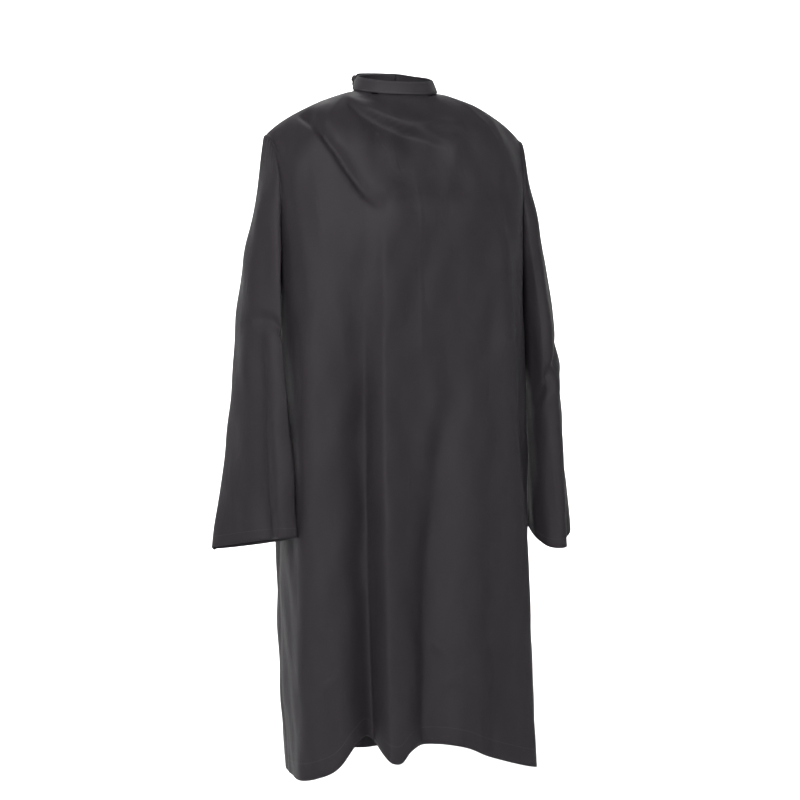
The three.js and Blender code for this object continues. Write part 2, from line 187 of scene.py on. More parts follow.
SECTIONS = (
    Section(0.000, 0.215, 0.100, 0.092, 3.0, 0.000),
    Section(0.130, 0.222, 0.116, 0.112, 3.0, 0.000),
    Section(0.230, 0.216, 0.147, 0.122, 2.9, 0.001),
    Section(0.330, 0.214, 0.152, 0.125, 2.9, 0.003),
    Section(0.600, 0.216, 0.160, 0.123, 3.0, 0.008),
    Section(0.850, 0.216, 0.170, 0.122, 2.9, 0.011),
    Section(1.190, 0.220, 0.186, 0.124, 2.6, 0.024),
)

HEM_TURNS = (
    -187, -120, -90, -71, -55, -41, -32, -27, -21, -14.6, -10.6,
    -7.6, 0, 7.6, 17.5, 32, 51, 72, 90, 120, 187,
)  # fmt: skip
HEM_DEPTHS = (
    1.172, 1.174, 1.178, 1.172, 1.162, 1.140, 1.106, 1.094, 1.106, 1.128, 1.128,
    1.114, 1.106, 1.112, 1.130, 1.148, 1.166, 1.174, 1.175, 1.175, 1.172,
)  # fmt: skip


@dataclass(frozen=True)
class WornForm:
    """The shape that the cape's cloth hangs in on its wearer."""

    neck_half_width: float = 0.072
    neck_half_depth: float = 0.065
    neckline_front: float = 0.022
    neckline_back: float = -0.004
    shoulder_half_width: float = 0.228
    shoulder_depth: float = 0.088
    shoulder_bulge: tuple[float, float] = (0.186, 0.042)
    armhole_half_depth: float = 0.060
    underarm_half_width: float = 0.207
    underarm_depth: float = 0.300
    neck_turn: float = 36.0
    tip_turn: float = 66.0
    ease_depth: float = 0.105

    def measure(self, key: str, depth: Array) -> Array:
        """One measure of the sections at each depth."""
        knots = [section.depth for section in SECTIONS]
        return through(knots, [getattr(section, key) for section in SECTIONS], depth)

    def ring(self, turn: Array, depth: Array) -> Array:
        """Points of the hanging body.

        Args:
            turn: Turn of each point, in degrees.
            depth: Depth of each point below the neck.

        Returns:
            Points, with a last axis of 3.
        """
        s, c = np.sin(np.radians(turn)), np.cos(np.radians(turn))
        power = 2 / self.measure("squareness", depth)
        reach = np.where(c > 0, self.measure("front", depth), self.measure("back", depth))
        x = self.measure("half_width", depth) * np.sign(s) * np.abs(s) ** power
        y = -reach * np.sign(c) * np.abs(c) ** power
        return np.stack([x, y, -depth], axis=-1)

    def leaned(self, points: Array) -> Array:
        """Points moved towards the wearer's left by as much as the cloth at their depth hangs there."""
        moved = points.copy()
        moved[..., 0] += self.measure("shift", -points[..., 2])
        return moved

    def neckline(self, angle: Array) -> Array:
        """Points of the neckline at angles round the neck from its front."""
        s, c = np.sin(np.radians(angle)), np.cos(np.radians(angle))
        middle = (self.neckline_front + self.neckline_back) / 2
        tilt = (self.neckline_front - self.neckline_back) / 2
        x, y = self.neck_half_width * s, -self.neck_half_depth * c
        return np.stack([x, y, -(middle + tilt * c)], axis=-1)

    def shoulder(self, share: Array) -> Array:
        """Points of the left shoulder seam, from the neck at 0 to its tip at 1."""
        neck = self.neckline(np.array(90.0))
        bulge = np.array([self.shoulder_bulge[0], 0, -self.shoulder_bulge[1]])
        tip = np.array([self.shoulder_half_width, 0, -self.shoulder_depth])
        u = np.asarray(share)[..., None]
        return (1 - u) ** 2 * neck + 2 * u * (1 - u) * bulge + u * u * tip

    def armhole(self, angle: Array) -> Array:
        """Points of the left armhole.

        Args:
            angle: Angles round it: 0 is the shoulder tip, 90 its back and 180 the underarm.

        Returns:
            Points, with a last axis of 3.
        """
        s, c = np.sin(np.radians(angle)), np.cos(np.radians(angle))
        middle = (self.shoulder_depth + self.underarm_depth) / 2
        half = (self.underarm_depth - self.shoulder_depth) / 2
        low = np.sqrt((1 - c) / 2)
        x = self.shoulder_half_width * (1 - low) + self.underarm_half_width * low
        return np.stack([x, self.armhole_half_depth * s, -(middle - half * c)], axis=-1)

    def upper_edge(self, turn: Array) -> Array:
        """Upper edge of the body cloth: neckline, shoulder seam, then armhole.

        Args:
            turn: Turn of each point, negative on the wearer's right.

        Returns:
            Points, with a last axis of 3.
        """
        side = np.sign(turn)
        level = np.abs(turn)
        back = level > 90
        inner = np.where(back, 180 - level, level)
        neck_angle = 90 * np.minimum(inner, self.neck_turn) / self.neck_turn
        neck = self.neckline(np.where(back, 180 - neck_angle, neck_angle))
        seam = (inner - self.neck_turn) / (self.tip_turn - self.neck_turn)
        shoulder = self.shoulder(np.clip(seam, 0, 1))
        hole_angle = 180 * (inner - self.tip_turn) / (90 - self.tip_turn)
        hole_angle = np.clip(hole_angle, 0, 180)
        hole = self.armhole(np.where(back, hole_angle, -hole_angle))
        zone = inner[..., None]
        edge = np.where(zone <= self.neck_turn, neck, np.where(zone <= self.tip_turn, shoulder, hole))
        edge[..., 0] *= np.where(side < 0, -1, 1)
        return edge

    def hem_depth(self, turn: Array) -> Array:
        """Depth of the hem at each turn."""
        return through(HEM_TURNS, HEM_DEPTHS, turn)

    def turndown(self, turn: Array) -> Array:
        """How fast the cloth turns down from its upper edge: at once over the shoulder."""
        level = np.abs(turn)
        inner = np.where(level > 90, 180 - level, level)
        over = np.clip((inner - self.neck_turn * 0.4) / (self.neck_turn * 0.8), 0, 1)
        past = np.clip((inner - self.tip_turn) / (90 - self.tip_turn), 0, 1)
        return (1 - 0.5 * over) * (1 - past) + past

    def body(self, turn: Array, depth: Array) -> Array:
        """Points of the smooth body cloth, before its folds.

        Args:
            turn: Turn of each point.
            depth: Depth of each point.

        Returns:
            Points, with a last axis of 3.
        """
        edge = self.upper_edge(turn)
        ring = self.ring(turn, depth)
        fall = np.clip((depth + edge[..., 2]) / self.ease_depth, 0, 1)
        share = (np.sin(fall * math.pi / 2) ** self.turndown(turn))[..., None]
        point = edge * (1 - share) + ring * share
        point[..., 2] = -depth
        return point

    def even_turns(self, start: float, end: float, count: int) -> Array:
        """Turns whose columns hang about evenly spaced.

        Args:
            start: First turn.
            end: Last turn.
            count: How many columns there are.

        Returns:
            The turns, both ends included.
        """
        fine = np.linspace(start, end, 2000)
        points = self.ring(fine, np.full_like(fine, 0.5))
        step = np.linalg.norm(np.diff(points, axis=0), axis=1)
        along = np.concatenate([[0], np.cumsum(step)])
        return np.interp(np.linspace(0, along[-1], count), along, fine)


FORM = WornForm()

# --------------------------------------------------------------------------- mesh tools


def select_only(obj: bpy.types.Object) -> None:
    """Deselects everything, then selects obj and makes it active."""
    for other in bpy.context.selected_objects:
        other.select_set(False)
    obj.select_set(True)
    bpy.context.view_layer.objects.active = obj


def apply_modifier(obj: bpy.types.Object, kind: str, **settings: object) -> None:
    """Adds a modifier to obj and applies it.

    Args:
        obj: The piece.
        kind: Blender's name for the modifier type.
        **settings: The modifier's own settings.
    """
    modifier = obj.modifiers.new(kind.title(), kind)
    for key, value in settings.items():
        setattr(modifier, key, value)
    select_only(obj)
    bpy.ops.object.modifier_apply(modifier=modifier.name)


def bake_place(obj: bpy.types.Object, place: Matrix) -> None:
    """Moves a finished mesh to its place and leaves its object at the origin."""
    obj.data.transform(place @ obj.matrix_world)
    obj.matrix_world = Matrix.Identity(4)


def linked(name: str, mesh: bpy.types.Mesh) -> bpy.types.Object:
    """Adds a new object with a mesh to the scene and returns it."""
    obj = bpy.data.objects.new(name, mesh)
    bpy.context.scene.collection.objects.link(obj)
    return obj


def spun(
    name: str, outline: Sequence[tuple[float, float]], steps: int, merge: float, inside: bool
) -> bpy.types.Object:
    """Spins an outline round Z into a surface.

    Args:
        name: The object's name.
        outline: Radius and height of each point, in metres.
        steps: How many steps go round.
        merge: How close points are joined.
        inside: Whether its faces look inwards.

    Returns:
        The new object, selected.
    """
    bpy.ops.object.select_all(action="DESELECT")
    mesh = bpy.data.meshes.new(name)
    points = [(radius, 0, height) for radius, height in outline]
    mesh.from_pydata(points, [(i, i + 1) for i in range(len(points) - 1)], [])
    obj = linked(name, mesh)
    select_only(obj)
    bpy.ops.object.mode_set(mode="EDIT")
    bpy.ops.mesh.select_all(action="SELECT")
    bpy.ops.mesh.spin(steps=steps, angle=2 * math.pi, center=(0, 0, 0), axis=(0, 0, 1))
    bpy.ops.mesh.select_all(action="SELECT")
    bpy.ops.mesh.remove_doubles(threshold=merge)
    bpy.ops.mesh.normals_make_consistent(inside=inside)
    bpy.ops.object.mode_set(mode="OBJECT")
    return obj


def grid_object(name: str, grid: Array, uv: Array, wraps: bool = False) -> bpy.types.Object:
    """Makes a sheet of quads from a grid of points.

    Args:
        name: The piece's name.
        grid: Rows by columns by 3.
        uv: Rows by columns by 2, in metres of cloth.
        wraps: Whether the last column joins the first.

    Returns:
        The new object, smooth shaded, faces outwards.
    """
    rows, columns = grid.shape[:2]
    index = np.arange(rows * columns).reshape(rows, columns)
    if wraps:
        index = np.concatenate([index, index[:, :1]], axis=1)
        seam = uv[:, :1] + (uv[:, -1:] - uv[:, -2:-1]) + (uv[:, -1:] - uv[:, :1])
        uv = np.concatenate([uv, seam], axis=1)
    wide = np.arange(uv.shape[0] * uv.shape[1]).reshape(uv.shape[:2])

    def corners(ids: Array) -> Array:
        """The four corners of each quad, anticlockwise from outside."""
        quad = [ids[:-1, :-1], ids[1:, :-1], ids[1:, 1:], ids[:-1, 1:]]
        return np.stack(quad, axis=-1).reshape(-1, 4)

    mesh = bpy.data.meshes.new(name)
    mesh.from_pydata(grid.reshape(-1, 3).tolist(), [], corners(index).tolist())
    layer = mesh.uv_layers.new(name="UVMap")
    layer.data.foreach_set("uv", uv.reshape(-1, 2)[corners(wide).ravel()].ravel())
    mesh.polygons.foreach_set("use_smooth", [True] * len(mesh.polygons))
    mesh.update()
    return linked(name, mesh)


def with_turned_hem(grid: Array, normals: Array, rows: int, gap: float) -> Array:
    """Adds the hem's turning to a grid: round the edge and back up inside.

    Args:
        grid: The cloth's points, its last row the hem's edge.
        normals: Their outward normals.
        rows: How many rows up the turning reaches.
        gap: How far inside the cloth it lies.

    Returns:
        The longer grid.
    """
    edge = grid[-1] - normals[-1] * gap / 2 + np.array([0, 0, -gap / 2])
    inside = [grid[-1 - k] - normals[-1 - k] * gap for k in range(rows)]
    last = grid[-1 - rows] - normals[-1 - rows] * gap * 0.6
    return np.concatenate([grid, edge[None], np.array(inside), last[None]])


def cloth_uv(across: Array, down: Array, turning: int, depth_step: Array) -> Array:
    """Cloth coordinates of a grid with a turned hem.

    Args:
        across: Metres across the cloth for each grid point.
        down: Metres down the cloth for each grid point.
        turning: How many rows the turning adds.
        depth_step: Metres that each row of the turning adds.

    Returns:
        Rows by columns by 2.
    """
    base = np.stack([across, down], axis=-1)
    extra = [base[-1] + np.stack([0 * depth_step, depth_step * (k + 1)], -1) for k in range(turning)]
    return np.concatenate([base, np.array(extra)])


@dataclass
class Thread:
    """Rows of sewing thread: one stitch, modelled once and copied along a seam."""

    length: float = 0.0026
    pitch: float = 0.0034
    radius: float = 0.00028
    flatness: float = 0.7
    nudge: float = 1e-4

    def template(self) -> tuple[Array, list[tuple[int, ...]]]:
        """Models one stitch, lying along X.

        Returns:
            Its points and its faces.
        """
        bpy.ops.object.select_all(action="DESELECT")
        bpy.ops.mesh.primitive_uv_sphere_add(segments=6, ring_count=4, radius=1)
        obj = bpy.context.active_object
        bpy.ops.object.mode_set(mode="EDIT")
        bpy.ops.mesh.select_all(action="SELECT")
        bpy.ops.transform.resize(value=(self.radius, self.radius * self.flatness, self.length / 2))
        bpy.ops.object.mode_set(mode="OBJECT")
        points = np.array([v.co for v in obj.data.vertices])
        faces = [tuple(p.vertices) for p in obj.data.polygons]
        bpy.data.objects.remove(obj)
        return points[:, [2, 0, 1]], faces

    def sew(self, name: str, lines: Sequence[tuple[Array, Array]]) -> bpy.types.Object:
        """Lays stitches along lines on the cloth.

        Args:
            name: The piece's name.
            lines: Pairs of points along a seam and the cloth's normals there.

        Returns:
            One object with every stitch of those lines.
        """
        template, faces = self.template()
        points, polygons = [], []
        for line, normals in lines:
            step = np.linalg.norm(np.diff(line, axis=0), axis=1)
            along = np.concatenate([[0], np.cumsum(step)])
            count = max(1, int(along[-1] / self.pitch))
            at = (np.arange(count) + 0.5) * along[-1] / count
            place = np.stack([np.interp(at, along, line[:, k]) for k in range(3)], 1)
            ahead = np.stack([np.interp(at + self.nudge, along, line[:, k]) for k in range(3)], 1)
            behind = np.stack([np.interp(at - self.nudge, along, line[:, k]) for k in range(3)], 1)
            out = np.stack([np.interp(at, along, normals[:, k]) for k in range(3)], 1)
            x = ahead - behind
            x /= np.linalg.norm(x, axis=1, keepdims=True)
            y = np.cross(out, x)
            y /= np.linalg.norm(y, axis=1, keepdims=True)
            z = np.cross(x, y)
            for i in range(count):
                first = len(points) * len(template)
                turned = template @ np.stack([x[i], y[i], z[i]])
                points.append(turned + place[i])
                polygons += [tuple(first + v for v in face) for face in faces]
        mesh = bpy.data.meshes.new(name)
        mesh.from_pydata(np.concatenate(points).tolist(), [], polygons)
        mesh.polygons.foreach_set("use_smooth", [True] * len(mesh.polygons))
        return linked(name, mesh)


# --------------------------------------------------------------------------- finishes


def new_group(
    name: str, inputs: Sequence[tuple[str, str, object]], outputs: Sequence[str]
) -> tuple[bpy.types.NodeTree, bpy.types.Node, bpy.types.Node]:
    """Starts a shader node group.

    Args:
        name: The group's name.
        inputs: Name, socket type and default of each input.
        outputs: Names of its float outputs.

    Returns:
        The node tree, its input node and its output node.
    """
    tree = bpy.data.node_groups.new(name, "ShaderNodeTree")
    for label, kind, default in inputs:
        socket = tree.interface.new_socket(name=label, in_out="INPUT", socket_type=kind)
        if default is not None:
            socket.default_value = default
    for label in outputs:
        tree.interface.new_socket(name=label, in_out="OUTPUT", socket_type="NodeSocketFloat")
    start = tree.nodes.new("NodeGroupInput")
    end = tree.nodes.new("NodeGroupOutput")
    return tree, start, end


def math_node(tree: bpy.types.NodeTree, operation: str, *values: object) -> bpy.types.NodeSocket:
    """Adds a Math node and returns its output.

    Args:
        tree: The node tree.
        operation: The node's operation.
        *values: A number or a socket for each of its inputs.

    Returns:
        The output socket.
    """
    node = tree.nodes.new("ShaderNodeMath")
    node.operation = operation
    for i, value in enumerate(values):
        if isinstance(value, (int, float)):
            node.inputs[i].default_value = value
        else:
            tree.links.new(value, node.inputs[i])
    return node.outputs[0]


def weave_group() -> bpy.types.NodeTree:
    """Makes a twill weave over a cloth's own coordinates, in metres.

    Returns:
        The group; its output is Height, of the threads.
    """
    tree, start, end = new_group(
        "twill_weave",
        [("Cloth", "NodeSocketVector", None), ("Threads", "NodeSocketFloat", 2600.0)],
        ["Height"],
    )
    split = tree.nodes.new("ShaderNodeSeparateXYZ")
    tree.links.new(start.outputs["Cloth"], split.inputs[0])
    turns = math_node(tree, "MULTIPLY", start.outputs["Threads"], math.pi)
    warp = math_node(tree, "MULTIPLY", split.outputs["X"], turns)
    weft = math_node(tree, "MULTIPLY", split.outputs["Y"], turns)
    slant = math_node(tree, "MULTIPLY", weft, 0.5)
    rib = math_node(tree, "SINE", math_node(tree, "ADD", warp, slant))
    thread = math_node(tree, "SINE", math_node(tree, "MULTIPLY", weft, 2.0))
    mixed = math_node(tree, "MULTIPLY_ADD", rib, 0.35, 0.5)
    tree.links.new(math_node(tree, "MULTIPLY_ADD", thread, 0.15, mixed), end.inputs["Height"])
    return tree


def wear_group() -> bpy.types.NodeTree:
    """Makes the slow variation of a worn cloth.

    Returns:
        The group; its outputs are Tone from 0 to 1, Crease height, and Lint where fluff sits.
    """
    tree, start, end = new_group(
        "cloth_wear",
        [
            ("Place", "NodeSocketVector", None),
            ("Tone Size", "NodeSocketFloat", 16.0),
            ("Crease Size", "NodeSocketFloat", 26.0),
            ("Lint Size", "NodeSocketFloat", 130.0),
        ],
        ["Tone", "Crease", "Lint"],
    )

    def noise(
        scale: str, detail: float, roughness: float, squash: float = 1.0, distortion: float = 0.0
    ) -> bpy.types.NodeSocket:
        """Adds a noise over Place.

        Args:
            scale: Which of the group's inputs sets its scale.
            detail: The noise's detail.
            roughness: The noise's roughness.
            squash: What Z is multiplied by; under 1 draws the pattern out downwards.
            distortion: The noise's distortion.

        Returns:
            The noise's value.
        """
        drawn = tree.nodes.new("ShaderNodeVectorMath")
        drawn.operation = "MULTIPLY"
        drawn.inputs[1].default_value = (1.0, 1.0, squash)
        tree.links.new(start.outputs["Place"], drawn.inputs[0])
        node = tree.nodes.new("ShaderNodeTexNoise")
        node.inputs["Detail"].default_value = detail
        node.inputs["Roughness"].default_value = roughness
        node.inputs["Distortion"].default_value = distortion
        tree.links.new(drawn.outputs[0], node.inputs["Vector"])
        tree.links.new(start.outputs[scale], node.inputs["Scale"])
        return node.outputs[0]

    broad = noise("Tone Size", 4.0, 0.6, squash=0.16)
    fine = noise("Lint Size", 2.0, 0.7)
    tone = math_node(tree, "MULTIPLY_ADD", fine, 0.25, math_node(tree, "MULTIPLY", broad, 0.75))
    tree.links.new(tone, end.inputs["Tone"])
    crease = noise("Crease Size", 3.0, 0.45, squash=0.42, distortion=0.6)
    off = math_node(tree, "ABSOLUTE", math_node(tree, "SUBTRACT", crease, 0.5))
    ridge = math_node(tree, "POWER", math_node(tree, "MULTIPLY", off, 2.0), 0.6)
    tree.links.new(ridge, end.inputs["Crease"])
    cells = tree.nodes.new("ShaderNodeTexVoronoi")
    cells.inputs["Randomness"].default_value = 1.0
    tree.links.new(start.outputs["Place"], cells.inputs["Vector"])
    tree.links.new(start.outputs["Lint Size"], cells.inputs["Scale"])
    speck = math_node(tree, "LESS_THAN", cells.outputs["Distance"], 0.09)
    rare = math_node(tree, "GREATER_THAN", noise("Crease Size", 2.0, 0.6), 0.60)
    tree.links.new(math_node(tree, "MULTIPLY", speck, rare), end.inputs["Lint"])
    return tree


@dataclass(frozen=True)
class ClothFinish:
    """A woven cloth: its colours, its threads and how it takes the light."""

    name: str
    deep: tuple[float, float, float]
    lit: tuple[float, float, float]
    threads: float = 2600.0
    roughness: tuple[float, float] = (0.56, 0.68)
    sheen: float = 0.004
    sheen_roughness: float = 0.45
    sheen_tint: tuple[float, float, float] = (0.9, 0.85, 0.92)
    crease_height: float = 0.0016
    crease_strength: float = 0.34
    weave_height: float = 0.00012
    weave_strength: float = 0.6
    lint: float = 0.05
    lint_colour: tuple[float, float, float] = (0.32, 0.31, 0.32)
    ior: float = 1.16

    def build(self, weave: bpy.types.NodeTree, wear: bpy.types.NodeTree) -> bpy.types.Material:
        """Makes the material.

        Args:
            weave: The weave group.
            wear: The wear group.

        Returns:
            The material, with a Principled shader.
        """
        material = bpy.data.materials.new(self.name)
        material.use_nodes = True
        tree = material.node_tree
        shader = tree.nodes["Principled BSDF"]
        place = tree.nodes.new("ShaderNodeTexCoord")
        threads = tree.nodes.new("ShaderNodeGroup")
        threads.node_tree = weave
        threads.inputs["Threads"].default_value = self.threads
        tree.links.new(place.outputs["UV"], threads.inputs["Cloth"])
        worn = tree.nodes.new("ShaderNodeGroup")
        worn.node_tree = wear
        tree.links.new(place.outputs["Object"], worn.inputs["Place"])
        tint = tree.nodes.new("ShaderNodeMix")
        tint.data_type = "RGBA"
        tint.inputs["A"].default_value = (*self.deep, 1)
        tint.inputs["B"].default_value = (*self.lit, 1)
        tree.links.new(worn.outputs["Tone"], tint.inputs["Factor"])
        dusty = tree.nodes.new("ShaderNodeMix")
        dusty.data_type = "RGBA"
        dusty.inputs["B"].default_value = (*self.lint_colour, 1)
        tree.links.new(tint.outputs["Result"], dusty.inputs["A"])
        amount = math_node(tree, "MULTIPLY", worn.outputs["Lint"], self.lint)
        tree.links.new(amount, dusty.inputs["Factor"])
        tree.links.new(dusty.outputs["Result"], shader.inputs["Base Color"])
        low, high = self.roughness
        rough = math_node(tree, "MULTIPLY_ADD", worn.outputs["Tone"], high - low, low)
        tree.links.new(rough, shader.inputs["Roughness"])
        shader.inputs["Sheen Weight"].default_value = self.sheen
        shader.inputs["Sheen Roughness"].default_value = self.sheen_roughness
        shader.inputs["Sheen Tint"].default_value = (*self.sheen_tint, 1)
        shader.inputs["IOR"].default_value = self.ior
        creased = tree.nodes.new("ShaderNodeBump")
        creased.inputs["Distance"].default_value = self.crease_height
        creased.inputs["Strength"].default_value = self.crease_strength
        tree.links.new(worn.outputs["Crease"], creased.inputs["Height"])
        woven = tree.nodes.new("ShaderNodeBump")
        woven.inputs["Distance"].default_value = self.weave_height
        woven.inputs["Strength"].default_value = self.weave_strength
        tree.links.new(threads.outputs["Height"], woven.inputs["Height"])
        tree.links.new(creased.outputs["Normal"], woven.inputs["Normal"])
        tree.links.new(woven.outputs["Normal"], shader.inputs["Normal"])
        return material


@dataclass(frozen=True)
class MetalFinish:
    """Lacquered or bare metal of the press studs."""

    name: str
    colour: tuple[float, float, float]
    metallic: float
    roughness: tuple[float, float]
    coat: float = 0.0
    coat_roughness: float = 0.15
    cloud_size: float = 420.0
    worn_shade: float = 0.7
    scratch_depth: float = 0.00004
    scratch_strength: float = 0.4

    def build(self) -> bpy.types.Material:
        """Makes the material, with fine scratches and a worn, cloudy polish.

        Returns:
            The material, with a Principled shader.
        """
        material = bpy.data.materials.new(self.name)
        material.use_nodes = True
        tree = material.node_tree
        shader = tree.nodes["Principled BSDF"]
        place = tree.nodes.new("ShaderNodeTexCoord")
        cloud = tree.nodes.new("ShaderNodeTexNoise")
        cloud.inputs["Scale"].default_value = self.cloud_size
        cloud.inputs["Detail"].default_value = 4.0
        tree.links.new(place.outputs["Object"], cloud.inputs["Vector"])
        tint = tree.nodes.new("ShaderNodeMix")
        tint.data_type = "RGBA"
        tint.inputs["A"].default_value = (*(self.worn_shade * c for c in self.colour), 1)
        tint.inputs["B"].default_value = (*self.colour, 1)
        tree.links.new(cloud.outputs[0], tint.inputs["Factor"])
        tree.links.new(tint.outputs["Result"], shader.inputs["Base Color"])
        low, high = self.roughness
        rough = math_node(tree, "MULTIPLY_ADD", cloud.outputs[0], high - low, low)
        tree.links.new(rough, shader.inputs["Roughness"])
        shader.inputs["Metallic"].default_value = self.metallic
        shader.inputs["Coat Weight"].default_value = self.coat
        shader.inputs["Coat Roughness"].default_value = self.coat_roughness
        scratch = tree.nodes.new("ShaderNodeBump")
        scratch.inputs["Distance"].default_value = self.scratch_depth
        scratch.inputs["Strength"].default_value = self.scratch_strength
        tree.links.new(cloud.outputs[0], scratch.inputs["Height"])
        tree.links.new(scratch.outputs["Normal"], shader.inputs["Normal"])
        return material


CAPE_CLOTH = ClothFinish("cape_cloth", (0.0066, 0.0056, 0.0068), (0.0120, 0.0105, 0.0123))
BAND_CLOTH = ClothFinish(
    "neckband_cloth", (0.0095, 0.0086, 0.010), (0.0150, 0.0137, 0.0155), threads=1800.0, crease_height=0.0006
)
SEWING_THREAD = ClothFinish(
    "sewing_thread", (0.020, 0.019, 0.021), (0.050, 0.048, 0.052), threads=9000.0, crease_height=0.0
)
LABEL_CLOTH = ClothFinish(
    "label", (0.55, 0.53, 0.50), (0.68, 0.66, 0.62), threads=3400.0, crease_height=0.0004, lint=0.0
)
STUD_METAL = MetalFinish("press_stud", (0.028, 0.028, 0.030), 0.75, (0.28, 0.42), coat=0.6)


@dataclass
class Wardrobe:
    """Every finish of the cape, made once."""

    weave: bpy.types.NodeTree = field(default_factory=weave_group)
    wear: bpy.types.NodeTree = field(default_factory=wear_group)
    cloth: bpy.types.Material = field(init=False)
    band: bpy.types.Material = field(init=False)
    thread: bpy.types.Material = field(init=False)
    label: bpy.types.Material = field(init=False)
    metal: bpy.types.Material = field(init=False)

    def __post_init__(self) -> None:
        """Builds the materials."""
        self.cloth = CAPE_CLOTH.build(self.weave, self.wear)
        self.band = BAND_CLOTH.build(self.weave, self.wear)
        self.thread = SEWING_THREAD.build(self.weave, self.wear)
        self.label = LABEL_CLOTH.build(self.weave, self.wear)
        self.metal = STUD_METAL.build()


def dress(obj: bpy.types.Object, material: bpy.types.Material) -> None:
    """Gives a piece one material."""
    obj.data.materials.clear()
    obj.data.materials.append(material)


# --------------------------------------------------------------------------- body cloth


@dataclass(frozen=True)
class Undulation:
    """Soft, uneven waves over the whole cape, the same at a seam on both of its cloths."""

    seed: int
    reach: float
    across: tuple[float, float]
    down: tuple[float, float]
    count: int = 6

    def offsets(self, points: Array) -> Array:
        """Reads the waves.

        Args:
            points: Points, with a last axis of 3.

        Returns:
            How far each moves outwards, in metres.
        """
        rng = np.random.default_rng(self.seed)
        total = np.zeros(points.shape[:-1])
        for _ in range(self.count):
            heading = rng.uniform(0, 2 * math.pi)
            side = 2 * math.pi / rng.uniform(*self.across)
            fall = 2 * math.pi / rng.uniform(*self.down)
            wave = np.array([side * math.cos(heading), side * math.sin(heading), fall])
            total += np.cos(points @ wave + rng.uniform(0, 2 * math.pi))
        return total * self.reach / math.sqrt(self.count)


SOFT_WAVES = Undulation(11, 0.0022, (0.12, 0.30), (0.35, 0.9))
SMALL_WAVES = Undulation(5, 0.0010, (0.035, 0.08), (0.09, 0.22), count=9)

